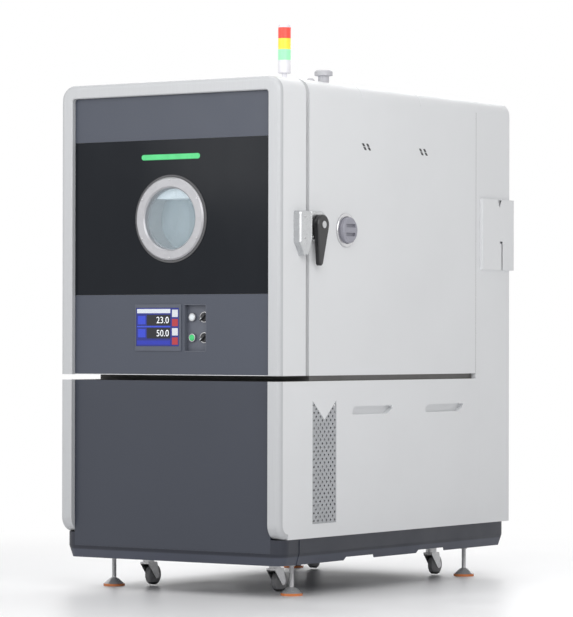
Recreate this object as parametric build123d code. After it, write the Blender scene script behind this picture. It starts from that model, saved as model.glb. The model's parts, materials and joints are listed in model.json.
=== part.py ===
from build123d import *
import math
import os

# Reach-in environmental test chamber with a round window, on casters and levelling feet.
# Millimetres. X runs to the right of someone facing the door, Y to the back, Z up.
# The origin is on the floor under the middle of the cabinet.

# Overall size of the cabinet, without the signal tower
width = 980.0
depth = 1600.0
height = 1850.0

# Levels, from the floor up
skirt_bottom = 116.0
skirt_fold = 158.0
skirt_top = 209.0
slot_bottom = 769.0
slot_height = 20.0

# Shell
sheet = 2.0
roof_radius = 55.0
rear_round = 12.0
flange = 14.0
seat_gap = 0.3
run_gap = 0.05

# Depths, from the front back
door_thickness = 164.0
door_gap = 21.0
rear_column_depth = 235.0
plinth_setback = 30.0
plinth_inset = 20.0
plinth_end = 28.0
plinth_bar = 40.0
seam_width = 3.0
seam_depth = 1.0
roof_seams = (528.0, 929.0)

# Silver trim of the front
trim_width = 52.0
trim_depth = 20.0
trim_round = 16.0
trim_inner_radius = 12.0
trim_lip = 3.0
curl_radius = 55.0

# Skirt and base
skirt_inset = 4.0
skirt_taper = 18.0
skirt_sheet = 3.0
skirt_front_radius = 45.0
skirt_rear_radius = 30.0
skirt_rear_inset = 35.0
floor_level = 130.0
channel_width = 200.0
channel_level = 118.0
channel_half_length = 450.0
fork_notches = ((437.0, 645.0), (933.0, 1137.0))
fork_notch_height = 12.0
skirt_rib_at = 120.0
skirt_rib_width = 20.0
skirt_rib_rise = 2.0

# Levelling feet and casters
foot_x = 400.0
foot_depths = (210.0, 1400.0)
foot_pad_radius = 40.0
foot_ring_height = 8.0
foot_dome_top = 32.0
foot_stem_radius = 8.0
foot_nut_radius = 14.0
foot_nut_height = 12.0
caster_x = 285.0
caster_depths = (270.0, 1345.0)
caster_pad = (70.0, 90.0, 4.0)
wheel_radius = 37.5
wheel_width = 24.0
wheel_clear = 4.0
wheel_hub_radius = 14.0
wheel_hub_width = 30.0
wheel_shoulder = 6.0
axle_radius = 5.0
fork_plate = 4.0
fork_trail = 28.0
fork_head_radius = 26.0
fork_crown_clear = 5.0
fork_crown = 6.0

# Lower side panels: grille and finger pulls
grille_from = 209.0
grille_width = 153.0
grille_low = 259.0
grille_high = 699.0
grille_margin = 4.5
grille_columns = 11
grille_row = 13.8
hole_half_width = 5.2
hole_half_height = 5.6
pull_starts = (470.0, 974.0)
pull_length = 270.0
pull_low = 646.0
pull_height = 29.0
pull_depth = 18.0
pull_bevel = (38.0, 19.0)
pull_corner = (17.0, 12.0)
front_panel_flange = 20.0

# Small vents high on the upper sides
vent_depths = (559.0, 953.0)
vent_level = 1624.0
vent_hole = (24.0, 11.0)
vent_pitch = (29.0, 13.0)
vent_slant = 10.0

# Chassis inside the lower section
angle_leg = 40.0
angle_wall = 4.0
post_depths = (70.0, 800.0, 1300.0)
deck = 3.0

# Test space
cavity_half = 375.0
cavity_low = 905.0
cavity_high = 1755.0
cavity_depth = 1040.0
liner = 1.5
rail_levels = (1180.0, 1450.0)
rail_width = 20.0
rail_start = 60.0
rail_length = 700.0
shelf_clear = 20.0
shelf_lip = 14.0
shelf_slots = 9
shelf_bar = 26.0
shelf_border = 45.0

# Conditioning space behind the baffle
baffle_from_mouth = 800.0
baffle_air_gap = 36.0
baffle_return = 18.0
fan_level = 1560.0
fan_inlet_radius = 96.0
inlet_bar = 6.0
inlet_pitch = 16.0
fan_radius = 120.0
fan_width = 60.0
fan_standoff = 22.0
fan_blades = 9
fan_blade = 3.0
fan_blade_root = 46.0
fan_sweep = 48.0
fan_hub_radius = 28.0
shaft_radius = 10.0
motor_radius = 75.0
motor_length = 165.0
motor_plate = 4.0
motor_grip = 80.0
motor_bell = 30.0
motor_step = 10.0
heater_half = 300.0
heater_levels = (1340.0, 1240.0)
heater_rod = 7.0
heater_sides = 8
heater_from_back = 125.0
coil_half = 320.0
coil_depth = 170.0
coil_low = 950.0
coil_high = 1150.0
coil_fins = 13
coil_fin = 3.0
coil_tube = (34.0, 8.0)
coil_from_back = 25.0

# Door
door_panel = 4.0
band_low = 1080.0
band_high = 1639.0
panel_joint = 0.3
plug_clear = 23.0
plug_reach = 40.0
plug_radius = 30.0
plug_edge = 10.0
gasket_in = 34.0
gasket_width = 28.0
gasket_nose = 16.0
gasket_foot = 9.0
gasket_radius = 40.0
led_centre = (-2.5, 1577.0)
led_length = 261.0
led_height = 20.0
led_rise = 2.0
hinge_out = 25.0
hinge_pin_radius = 8.0
hinge_knuckle_radius = 16.0
hinge_knuckle = 50.0
hinge_levels = (880.0, 1290.0, 1690.0)
hinge_leaf = 6.0
hinge_leaf_length = 70.0

# Door window
window_level = 1353.0
window_ring_radius = 150.0
window_bore = 112.5
window_wall = 3.0
window_ring_rise = 12.0
window_bevel = 5.0
pane = 6.0
pane_stop = 3.0
pane_depths = (8.0, 92.0)

# Operator panel: touch screen and control pocket
hmi_left = -160.0
hmi_right = 48.0
hmi_low = 875.0
hmi_high = 1045.0
hmi_rise = 4.0
hmi_back = 28.0
hmi_edge = 8.0
hmi_corner = 5.0
hmi_bevel = 1.5
screen_left = -154.0
screen_right = 38.0
screen_low = 893.0
screen_high = 1032.0
screen = 2.0
screen_sink = 1.0
pocket_left = 58.0
pocket_right = 157.0
pocket_low = 874.0
pocket_high = 1044.0
pocket_depth = 21.0
pocket_wall = 2.0
pocket_corner = 6.0
button_x = 85.0
knob_x = 134.0
control_levels = (998.0, 924.0)
button_radius = 11.0
button_collar = 3.5
collar_height = 8.0
button_rise = 12.0
button_cap = 7.0
stem_radius = 5.0
stem_reach = 7.0
button_travel = 4.0
knob_radius = 15.5
knob_skirt = 7.5
knob_grip = (28.0, 8.0, 11.0)
knob_turn = 45.0

# Latch on the right side
latch_depth = 226.0
latch_level = 1329.0
latch_plate_front = 178.0
latch_plate_radius = 53.0
latch_plate = 14.0
latch_boss_radius = 26.0
latch_boss = 4.0
latch_edge = 4.0
latch_pin_radius = 8.0
lever_hub_radius = 36.0
lever_tip_radius = 12.0
lever_tip = (14.0, 135.0)
lever = 18.0
lever_edge = 4.0
keeper_front = 86.0
keeper_back = 161.0
keeper_low = 1263.0
keeper_high = 1375.0
keeper_rise = 30.0
keeper_tail = 46.0
keeper_tail_width = 34.0
keeper_edge = 5.0
keeper_slot = (16.0, 22.0)

# Test port through the right wall
port_depth = 420.0
port_level = 1315.0
port_bore = 50.0
port_wall = 3.0
port_flange_radius = 62.0
port_flange = 7.0
plug_fit = 0.4
plug_head = 47.0
plug_head_rise = 24.0
plug_grip = (60.0, 12.0, 9.0)

# Signal tower and roof vents
tower_x = 352.0
tower_depth = 228.0
tower_stub_radius = 9.0
tower_stub = 26.0
tower_radius = 23.0
tower_base = 48.0
tower_lens = 39.0
tower_core = 8.0
tower_cap = 13.0
breather_x = 410.0
breather_depth = 395.0
breather_neck_radius = 20.0
breather_neck = 24.0
breather_radius = 33.0
breather_head = 22.0
nub_depth = 310.0
nub_radius = 15.0
nub_height = 11.0

# Rear: service panel, gland, drain and the cable box on the right
rear_panel_half = 400.0
rear_panel_low = 300.0
rear_panel_high = 1700.0
rear_panel_corner = 12.0
louvre = (150.0, 9.0)
louvre_columns = 4
louvre_rows = 7
louvre_pitch = (180.0, 34.0)
louvre_low = 480.0
gland_place = (-300.0, 380.0)
gland_radius = 22.0
gland_bore = 12.0
gland_reach = 14.0
drain_place = (-180.0, 350.0)
drain_radius = 8.0
drain_bore = 5.0
drain_flange = 16.0
cable_box_low = 1190.0
cable_box_high = 1465.0
cable_box_rise = 12.0
cable_box_back = 8.0
cable_box_wrap = 70.0
cable_notch = (34.0, 33.0)
cable_slot = (9.0, 112.0)
cable_slot_hook = 22.0
cable_slot_depth = 1512.0

# Machinery in the lower section and the rear column
compressor_places = ((-250.0, 1050.0), (60.0, 1050.0))
compressor_radius = 110.0
compressor_height = 370.0
compressor_dome = 60.0
compressor_wall = 16.0
compressor_foot = (260.0, 12.0)
condenser_depth = 360.0
condenser_span = (400.0, 440.0)
condenser_centre_level = 400.0
condenser_core = 44.0
condenser_out = 60.0
condenser_fins = 13
condenser_fin = 3.0
condenser_tube = (24.0, 8.0)
condenser_frame = 4.0
shroud_length = 38.0
shroud_wall = 3.0
cooling_fan_radius = 150.0
cooling_fan_clear = 8.0
cooling_fan_blades = 5
cooling_fan_hub = 26.0
cooling_fan_chord = 62.0
cooling_fan_pitch = 30.0
cooling_motor = (38.0, 60.0)
cooling_shaft = 6.0
cabinet_half = 330.0
cabinet_low = 830.0
cabinet_high = 1380.0
cabinet_depth = 150.0

# Planes and levels that several pieces share
half = width / 2
front = -depth / 2
rear = depth / 2
panel_face = front + trim_depth
door_back = front + door_thickness
casing_front = door_back + door_gap
column_front = rear - rear_column_depth
slot_top = slot_bottom + slot_height
trim_inner = half - trim_width
trim_inner_top = height - trim_width + trim_lip
cavity_back = casing_front + cavity_depth
insulation_back = column_front - seat_gap
baffle_face = casing_front + baffle_from_mouth
hinge_x = -half - hinge_out
hinge_y = door_back + door_gap / 2


def at_depth(distance):
    """The Y of a point measured back from the front of the cabinet."""
    return front + distance


def patch(left, right, low, high, radius=0.0):
    """A rectangle given by its limits, with its corners rounded if a radius is given."""
    flat = Pos((left + right) / 2, (low + high) / 2) * Rectangle(right - left, high - low)
    return fillet(flat.vertices(), radius) if radius else flat


def arch(half_width, low, high, radius):
    """A rectangle with its two upper corners rounded: the cabinet's section from the front."""
    flat = patch(-half_width, half_width, low, high)
    return fillet(flat.vertices().group_by(Axis.Y)[-1], radius)


def disc(radius, x=0.0, y=0.0):
    return Pos(x, y) * Circle(radius)


def front_prism(sketch, y_front, y_back):
    """A front view, X across and Z up, carried from one depth to another."""
    plane = Plane(origin=(0, y_back, 0), x_dir=(1, 0, 0), z_dir=(0, -1, 0))
    return extrude(plane * sketch, amount=y_back - y_front)


def side_prism(sketch, x_low, x_high):
    """A side view, Y across and Z up, carried from one X to another."""
    plane = Plane(origin=(x_low, 0, 0), x_dir=(0, 1, 0), z_dir=(1, 0, 0))
    return extrude(plane * sketch, amount=x_high - x_low)


def plan_prism(sketch, z_low, z_high):
    """A plan view carried from one height to another."""
    return extrude(Plane.XY.offset(z_low) * sketch, amount=z_high - z_low)


def turned_y(points, x, z):
    """A section of (radius, Y) points, turned about a front-to-back axis."""
    return revolve(Pos(x, 0, z) * Polygon(*points, align=None), Axis((x, 0, z), (0, 1, 0)))


def turned_x(points, y, z):
    """A section of (X, radius) points, turned about a left-to-right axis."""
    plane = Plane(origin=(0, y, z), x_dir=(1, 0, 0), z_dir=(0, -1, 0))
    return revolve(plane * Polygon(*points, align=None), Axis((0, y, z), (1, 0, 0)))


def turned_z(points, x, y):
    """A section of (radius, Z) points, turned about an upright axis."""
    plane = Plane(origin=(x, y, 0), x_dir=(1, 0, 0), z_dir=(0, -1, 0))
    return revolve(plane * Polygon(*points, align=None), Axis((x, y, 0), (0, 0, 1)))


def mirrored(shape):
    """The same piece on the other side of the cabinet."""
    return mirror(shape, about=Plane.YZ)


def folded_panel(outline, depth_of_flange, place):
    """A sheet-metal tray: a skin with its edges folded back all round."""
    return place(outline, 0, depth_of_flange) - place(offset(outline, -sheet), sheet, depth_of_flange + 1)


def from_right_face(outline, start, end):
    """A side view carried inwards from the right-hand face of the cabinet."""
    return side_prism(outline, half - end, half - start)


def from_panel_face(outline, start, end):
    """A front view carried back from the face of the dark front panels."""
    return front_prism(outline, panel_face + start, panel_face + end)


def from_rear_face(outline, start, end):
    """A front view carried forwards from the rear face of the cabinet."""
    return front_prism(outline, rear - end, rear - start)


def group(*solids):
    return Compound(children=[solid for shape in solids for solid in shape.solids()])


# Base: skirt, floor and the channels that feet and casters are fixed to

def skirt_block(inset):
    """The skirt's outer form, drawn in by an inset: upright above the fold, tapered below."""
    edge = half - skirt_inset - inset
    back = rear - skirt_rear_inset - inset
    plan = patch(-edge, edge, panel_face + inset, back)
    corners = plan.vertices().group_by(Axis.Y)
    plan = fillet(corners[0], skirt_front_radius - inset)
    corners = plan.vertices().group_by(Axis.Y)
    plan = fillet(corners[-1], skirt_rear_radius - inset)
    upper = plan_prism(plan, skirt_fold, skirt_top - seat_gap)
    lower = extrude(
        Plane(origin=(0, 0, skirt_fold), x_dir=(1, 0, 0), z_dir=(0, 0, -1)) * mirror(plan, about=Plane.XZ),
        amount=skirt_fold - skirt_bottom,
        taper=skirt_taper,
    )
    return upper + lower


def skirt_rib():
    """The upright rib near the front of the skirt, which follows its fold."""
    edge = half - skirt_inset
    draw = (skirt_fold - skirt_bottom) * math.tan(math.radians(skirt_taper))
    section = Polygon(
        (edge - 1, skirt_top - seat_gap),
        (edge + skirt_rib_rise, skirt_top - seat_gap),
        (edge + skirt_rib_rise, skirt_fold),
        (edge + skirt_rib_rise - draw, skirt_bottom),
        (edge - 1 - draw, skirt_bottom),
        (edge - 1, skirt_fold),
        align=None,
    )
    middle = at_depth(skirt_rib_at)
    return front_prism(section, middle - skirt_rib_width / 2, middle + skirt_rib_width / 2)


def cross_channel(middle):
    """A wide shallow channel under the floor, open at both ends."""
    wide = channel_width / 2
    section = patch(middle - wide, middle + wide, channel_level, floor_level + 1)
    hollow = patch(
        middle - wide + skirt_sheet, middle + wide - skirt_sheet, channel_level + skirt_sheet, floor_level
    )
    return side_prism(section - hollow, -channel_half_length, channel_half_length)


def channel_middle(row):
    """Feet and casters of one row share a channel."""
    return at_depth((foot_depths[row] + caster_depths[row]) / 2)


def base_tray():
    outer = skirt_block(0)
    floor = outer & plan_prism(
        patch(-half, half, front, rear), floor_level, floor_level + skirt_sheet
    )
    tray = outer - skirt_block(skirt_sheet) + floor
    for row in (0, 1):
        tray += cross_channel(channel_middle(row))
        for side in (-1, 1):
            pad = Pos(side * caster_x, at_depth(caster_depths[row])) * Rectangle(*caster_pad[:2])
            tray += plan_prism(pad, channel_level - caster_pad[2], channel_level + 1)
    rib = skirt_rib()
    tray += rib
    tray += mirrored(rib)
    for start, end in fork_notches:
        slope = fork_notch_height
        notch = Polygon(
            (at_depth(start), skirt_bottom - 1),
            (at_depth(end), skirt_bottom - 1),
            (at_depth(end) - slope, skirt_bottom + fork_notch_height),
            (at_depth(start) + slope, skirt_bottom + fork_notch_height),
            align=None,
        )
        tray -= side_prism(notch, -half, half)
    window = patch(-trim_inner, trim_inner, skirt_fold + sheet, skirt_top + 1)
    tray -= front_prism(window, panel_face - 1, panel_face + skirt_sheet + 1)
    return tray


# Feet and casters

def levelling_foot(x, y):
    """Rubber ring, domed pad, stem and lock nut."""
    top = channel_level - seat_gap
    stem = turned_z(
        [
            (0, 0),
            (foot_pad_radius, 0),
            (foot_pad_radius, foot_ring_height),
            (foot_stem_radius + 8, foot_dome_top - 4),
            (foot_stem_radius, foot_dome_top),
            (foot_stem_radius, top),
            (0, top),
        ],
        x,
        y,
    )
    nut = Pos(x, y) * RegularPolygon(foot_nut_radius, 6)
    return stem + plan_prism(nut, top - foot_nut_height, top)


def caster_fork(x, y):
    """Swivel head, crown and two legs, with the wheel's axle between the legs."""
    axle_z = wheel_clear + wheel_radius
    axle_y = y + fork_trail
    crown_low = axle_z + wheel_radius + fork_crown_clear
    crown_high = crown_low + fork_crown
    head_top = channel_level - caster_pad[2] - seat_gap
    leg_x = wheel_hub_width / 2 + seat_gap
    reach = leg_x + fork_plate
    leg = make_hull(
        [
            *disc(wheel_hub_radius, axle_y, axle_z).edges(),
            *patch(y - fork_head_radius, y + fork_trail, crown_low, crown_high).edges(),
        ]
    )
    fork = side_prism(leg, x + leg_x, x + reach) + side_prism(leg, x - reach, x - leg_x)
    fork += plan_prism(
        patch(x - reach, x + reach, y - fork_head_radius, y + fork_trail), crown_low, crown_high
    )
    fork += turned_z(
        [
            (0, crown_high - 1),
            (fork_head_radius - 5, crown_high - 1),
            (fork_head_radius - 5, head_top - 6),
            (fork_head_radius, head_top - 6),
            (fork_head_radius, head_top),
            (0, head_top),
        ],
        x,
        y,
    )
    return fork + side_prism(disc(axle_radius, axle_y, axle_z), x - leg_x - 1, x + leg_x + 1)


def caster_wheel(x, y):
    """Hub boss, tapered web and tread, turned about the axle."""
    tread = wheel_width / 2
    hub = wheel_hub_width / 2
    bore = axle_radius + run_gap
    section = [
        (x - hub, bore),
        (x - hub, wheel_hub_radius),
        (x - tread, wheel_radius - wheel_shoulder),
        (x - tread + wheel_shoulder / 2, wheel_radius),
        (x + tread - wheel_shoulder / 2, wheel_radius),
        (x + tread, wheel_radius - wheel_shoulder),
        (x + hub, wheel_hub_radius),
        (x + hub, bore),
    ]
    return turned_x(section, y + fork_trail, wheel_clear + wheel_radius)


# Lower section: silver corner strips, side panels and front panel

def curl_outline(inset):
    """Side view of the corner: straight down the front, then round under to the back."""
    low = skirt_top + inset
    flat = patch(front + inset, front + curl_radius, low, slot_bottom)
    corner = flat.vertices().group_by(Axis.X)[0].sort_by(Axis.Y)[0]
    return fillet(corner, curl_radius - inset)


def corner_strips():
    """Silver strips that run down the front corners and curl under at the skirt."""
    strip = side_prism(curl_outline(0) - curl_outline(trim_depth), trim_inner + panel_joint, half)
    outer_edges = [
        edge
        for edge in strip.edges().filter_by(GeomType.LINE).group_by(Axis.X)[-1]
        if edge.center().Y < front + 1
    ]
    strip = fillet(outer_edges, trim_round)
    return group(strip, mirrored(strip))


def side_panel_outline():
    """The white side panel starts behind the strip and follows its curl."""
    inside = trim_depth + seat_gap
    low = skirt_top + inside
    nose = patch(front + inside, front + curl_radius + 2, low, slot_bottom)
    corner = nose.vertices().group_by(Axis.X)[0].sort_by(Axis.Y)[0]
    nose = fillet(corner, curl_radius - inside)
    return nose + patch(front + curl_radius + seat_gap, column_front - seat_gap, skirt_top, slot_bottom)


def grille_outline(grow):
    """The perforated strip, with a V cut out of its top."""
    left = at_depth(grille_from) - grow
    right = at_depth(grille_from + grille_width) + grow
    middle = (left + right) / 2
    arm = grille_row * (grille_columns // 2)
    return Polygon(
        (left, grille_low - grow),
        (right, grille_low - grow),
        (right, grille_high + grow),
        (middle, grille_high - arm + grow),
        (left, grille_high + grow),
        align=None,
    )


def pull_outline(start, grow=0.0):
    """A finger pull: clipped at its upper front corner, bevelled at its lower rear corner."""
    left = at_depth(start)
    right = left + pull_length
    high = pull_low + pull_height
    outline = Polygon(
        (left, pull_low),
        (right - pull_bevel[0], pull_low),
        (right, pull_low + pull_bevel[1]),
        (right, high),
        (left + pull_corner[0], high),
        (left, high - pull_corner[1]),
        align=None,
    )
    return offset(outline, grow) if grow else outline


def side_panel():
    """Folded panel with the grille's window and two pressed finger pulls."""
    panel = folded_panel(side_panel_outline(), flange, from_right_face)
    panel -= from_right_face(grille_outline(seat_gap), -1, flange + 1)
    for start in pull_starts:
        panel += from_right_face(pull_outline(start, sheet), sheet / 2, pull_depth + sheet)
        panel -= from_right_face(pull_outline(start), -1, pull_depth)
    return panel


def grille():
    """Staggered diamond perforation, whose rows step down towards the V."""
    plate = from_right_face(grille_outline(0), 0, sheet)
    first = at_depth(grille_from) + grille_margin + hole_half_width
    pitch = (grille_width - 2 * (grille_margin + hole_half_width)) / (grille_columns - 1)
    middle = grille_columns // 2
    top = grille_high - grille_margin - 2 * hole_half_height
    holes = []
    for column in range(grille_columns):
        steps = middle - abs(column - middle)
        level = top - steps * grille_row
        while level - hole_half_height > grille_low + grille_margin:
            holes.append((first + column * pitch, level))
            level -= 2 * grille_row
    diamond = Polygon(
        (-hole_half_width, 0),
        (0, -hole_half_height),
        (hole_half_width, 0),
        (0, hole_half_height),
        align=None,
    )
    cutters = [from_right_face(Pos(y, z) * diamond, -1, sheet + 1) for y, z in holes]
    return plate - cutters


def lower_front_panel():
    """Folded dark panel between the silver strips, down to the fold of the skirt."""
    edge = trim_inner - panel_joint
    outline = patch(-edge, edge, skirt_fold + sheet + seat_gap, slot_bottom - seat_gap)
    return folded_panel(outline, front_panel_flange, from_panel_face)


# Chassis: angle posts and rails, deck and the recessed plinth

def angle(leg, wall):
    """An equal angle with its heel at the origin."""
    return Polygon((0, 0), (leg, 0), (leg, wall), (wall, wall), (wall, leg), (0, leg), align=None)


def chassis_frame():
    low = floor_level + skirt_sheet + seat_gap
    deck_top = slot_bottom - seat_gap
    edge = half - flange - seat_gap
    start = panel_face + front_panel_flange + seat_gap
    end = column_front - 2 * seat_gap
    frame = plan_prism(patch(-edge, edge, start, end), deck_top - deck, deck_top)
    outside = edge - 2
    for side in (-1, 1):
        heel = Pos(side * outside, 0) * (angle(angle_leg, angle_wall) if side < 0 else
                                         mirror(angle(angle_leg, angle_wall), about=Plane.YZ))
        for post in post_depths:
            frame += plan_prism(Pos(0, at_depth(post)) * heel, low, deck_top - deck / 2)
        rail = patch(outside - angle_wall, outside, deck_top - angle_leg, deck_top - deck / 2)
        rail += patch(
            outside - angle_leg, outside, deck_top - deck - angle_wall, deck_top - deck / 2
        )
        rail = rail if side > 0 else mirror(rail, about=Plane.YZ)
        frame += front_prism(rail, start, end)
    plinth_half = half - plinth_inset
    plinth_front = casing_front + plinth_setback
    plinth_back = column_front - plinth_end
    ring = patch(-plinth_half, plinth_half, plinth_front, plinth_back)
    hollow = patch(
        -plinth_half + plinth_bar,
        plinth_half - plinth_bar,
        plinth_front + plinth_bar,
        plinth_back - plinth_bar,
    )
    frame += plan_prism(ring - hollow, deck_top - deck / 2, slot_top - seat_gap)
    return frame


# Upper casing, insulation and liner

def mouth(grow):
    """The liner's opening, made larger by an amount all round."""
    return patch(
        -cavity_half - grow, cavity_half + grow, cavity_low - grow, cavity_high + grow
    )


def upper_casing():
    """Folded casing with rounded roof edges, a front face round the mouth and roof seams."""
    outer = arch(half, slot_top, height, roof_radius)
    inner = arch(half - sheet, slot_top + sheet, height - sheet, roof_radius - sheet)
    casing = front_prism(outer, casing_front, column_front - seat_gap)
    casing -= front_prism(inner, casing_front + sheet, column_front)
    casing -= front_prism(mouth(liner + seat_gap), casing_front - 1, casing_front + sheet + 1)
    top = patch(-half, half, height - roof_radius, height + 1)
    skin = arch(half + 1, slot_top, height + 1, roof_radius + 1)
    skin -= arch(half - seam_depth, slot_top, height - seam_depth, roof_radius - seam_depth)
    for seam in roof_seams:
        casing -= front_prism(skin & top, at_depth(seam), at_depth(seam) + seam_width)
    casing -= side_prism(
        disc(port_bore + port_wall + seat_gap, at_depth(port_depth), port_level), half - sheet - 1, half + 1
    )
    for vent in vent_depths:
        casing -= vent_holes(vent)
    return casing


def vent_holes(vent):
    """Four slanted diamonds in two rows, through both sides of the casing."""
    wide = vent_hole[0] / 2
    tall = vent_hole[1] / 2
    diamond = Polygon(
        (-wide, tall), (wide - vent_slant, tall), (wide, -tall), (vent_slant - wide, -tall), align=None
    )
    cutters = []
    for column in (-1, 1):
        for row in (-1, 1):
            middle_y = at_depth(vent) + column * vent_pitch[0] / 2 - row * vent_slant / 2
            middle_z = vent_level + row * vent_pitch[1] / 2
            hole = side_prism(Pos(middle_y, middle_z) * diamond, half - sheet - 1, half + 1)
            cutters += [hole, mirrored(hole)]
    return cutters


def insulation():
    """Foam block between casing and liner, bored for the test port and the fan shaft."""
    skin = sheet + seat_gap
    block = front_prism(
        arch(half - skin, slot_top + skin, height - skin, roof_radius - skin),
        casing_front + skin,
        insulation_back,
    )
    block -= front_prism(mouth(liner + seat_gap), casing_front, cavity_back + liner + seat_gap)
    tube = port_bore + port_wall + seat_gap
    block -= side_prism(disc(tube, at_depth(port_depth), port_level), cavity_half - 1, half)
    block -= front_prism(disc(shaft_radius + 6, 0, fan_level), cavity_back - 1, insulation_back + 1)
    return block


def inner_liner():
    """Stainless box, open at the front, with folded rails for the shelves."""
    box = front_prism(mouth(liner), casing_front, cavity_back + liner)
    box -= front_prism(mouth(0), casing_front - 1, cavity_back)
    start = casing_front + rail_start
    for level in rail_levels:
        ledge = patch(cavity_half - rail_width, cavity_half + liner / 2, level - sheet, level)
        lip = patch(cavity_half - rail_width, cavity_half - rail_width + sheet, level - 12, level)
        rail = front_prism(ledge + lip, start, start + rail_length)
        box += rail
        box += mirrored(rail)
    tube = port_bore + port_wall + seat_gap
    box -= side_prism(disc(tube, at_depth(port_depth), port_level), cavity_half - 1, cavity_half + liner + 1)
    box -= front_prism(disc(shaft_radius + 6, 0, fan_level), cavity_back - 1, cavity_back + liner + 1)
    return box


def shelf(level):
    """Sheet shelf with lips at its front and back and long air slots, lying on two rails."""
    outer = cavity_half - 5
    start = casing_front + rail_start + shelf_clear
    end = start + rail_length - 2 * shelf_clear
    low = level + seat_gap
    tray = plan_prism(patch(-outer, outer, start, end), low, low + sheet)
    for lip in ((start, start + sheet), (end - sheet, end)):
        tray += plan_prism(patch(-outer, outer, *lip), low, low + shelf_lip)
    pitch = (2 * (outer - shelf_border) + shelf_bar) / shelf_slots
    slots = []
    for index in range(shelf_slots):
        left = -outer + shelf_border + index * pitch
        slot = patch(left, left + pitch - shelf_bar, start + shelf_border, end - shelf_border)
        slots.append(plan_prism(slot, low - 1, low + sheet + 1))
    return tray - slots


# Air handling behind the baffle

def air_baffle():
    """Plate with side returns and a barred round inlet in front of the fan."""
    edge = cavity_half - seat_gap
    low = cavity_low + baffle_air_gap
    high = cavity_high - baffle_air_gap
    plate = front_prism(patch(-edge, edge, low, high), baffle_face, baffle_face + sheet)
    for side in (-1, 1):
        inside = side * (edge - sheet)
        limits = sorted((inside, side * edge))
        plate += front_prism(patch(*limits, low, high), baffle_face, baffle_face + baffle_return)
    bars = []
    level = fan_level - fan_inlet_radius + inlet_pitch / 2
    while level < fan_level + fan_inlet_radius:
        bars.append(patch(-fan_inlet_radius, fan_inlet_radius, level, level + inlet_pitch - inlet_bar))
        level += inlet_pitch
    round_inlet = disc(fan_inlet_radius, 0, fan_level)
    for bar in bars:
        plate -= front_prism(bar & round_inlet, baffle_face - 1, baffle_face + sheet + 1)
    return plate


def fan_rotor():
    """Backward-curved blades between a shroud ring and a back plate, on its shaft."""
    mouth_y = baffle_face + fan_standoff
    back_y = mouth_y + fan_width
    rotor = front_prism(
        disc(fan_radius, 0, fan_level) - disc(fan_inlet_radius - 8, 0, fan_level), mouth_y, mouth_y + fan_blade
    )
    rotor += front_prism(disc(fan_radius, 0, fan_level), back_y - fan_blade, back_y)
    rotor += front_prism(disc(fan_hub_radius, 0, fan_level), back_y - 30, back_y + 20)
    shaft_end = insulation_back + seat_gap + motor_plate + motor_grip
    rotor += front_prism(disc(shaft_radius, 0, fan_level), back_y, shaft_end)
    tip = fan_radius - 2
    for index in range(fan_blades):
        turn = index * 360 / fan_blades
        root_point = polar(fan_blade_root, turn)
        middle_point = polar((fan_blade_root + tip) / 2, turn + fan_sweep * 0.36)
        tip_point = polar(tip, turn + fan_sweep)
        line = ThreePointArc(root_point, middle_point, tip_point)
        blade = Pos(0, fan_level) * trace(line, fan_blade)
        rotor += front_prism(blade, mouth_y + fan_blade / 2, back_y - fan_blade / 2)
    return rotor


def polar(radius, degrees):
    angle_rad = math.radians(degrees)
    return (radius * math.cos(angle_rad), radius * math.sin(angle_rad))


def fan_motor():
    """Motor behind the insulation: mounting plate, stepped body and a bore for the fan's shaft."""
    seat = insulation_back + seat_gap
    plate_edge = motor_radius + 20
    plate = patch(-plate_edge, plate_edge, fan_level - plate_edge, fan_level + plate_edge, 12)
    motor = front_prism(plate, seat, seat + motor_plate)
    end = seat + motor_plate + motor_length
    points = [
        (0, seat + motor_plate - 1),
        (motor_radius, seat + motor_plate - 1),
        (motor_radius, end - motor_bell),
        (motor_radius - motor_step, end - motor_bell),
        (motor_radius - motor_step, end),
        (0, end),
    ]
    motor += turned_y(points, 0, fan_level)
    motor -= front_prism(
        disc(shaft_radius + run_gap, 0, fan_level), seat - 1, seat + motor_plate + motor_grip + seat_gap
    )
    return motor


def heater():
    """Hairpin heating rod whose two ends are fixed in the back wall of the liner."""
    plane_y = cavity_back - heater_from_back
    wall_y = cavity_back - seat_gap
    high, low = heater_levels
    path = FilletPolyline(
        (-heater_half, wall_y, high),
        (-heater_half, plane_y, high),
        (heater_half, plane_y, high),
        (heater_half, plane_y, low),
        (-heater_half, plane_y, low),
        (-heater_half, wall_y, low),
        radius=(high - low) / 2 - 1,
    )
    start = Plane(origin=path @ 0, z_dir=path % 0)
    return sweep(start * RegularPolygon(heater_rod, heater_sides), path=path)


def evaporator():
    """Fins on flat tubes, between two end plates that stand on the floor of the liner."""
    back = cavity_back - coil_from_back
    start = back - coil_depth
    standing = patch(start, back, cavity_low + seat_gap, coil_high)
    coil = side_prism(standing, -coil_half, -coil_half + sheet)
    coil += side_prism(standing, coil_half - sheet, coil_half)
    finned = patch(start, back, coil_low, coil_high)
    pitch = 2 * coil_half / (coil_fins + 1)
    for index in range(coil_fins):
        x = -coil_half + (index + 1) * pitch
        coil += side_prism(finned, x - coil_fin / 2, x + coil_fin / 2)
    for share in (0.28, 0.72):
        centre = (start + coil_depth / 2, coil_low + share * (coil_high - coil_low))
        coil += side_prism(Pos(*centre) * Rectangle(*coil_tube), -coil_half - 8, coil_half + 8)
    return coil


# Door

def door_outline(inset):
    return arch(half - inset, slot_top + inset, height - inset, roof_radius - inset)


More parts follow.
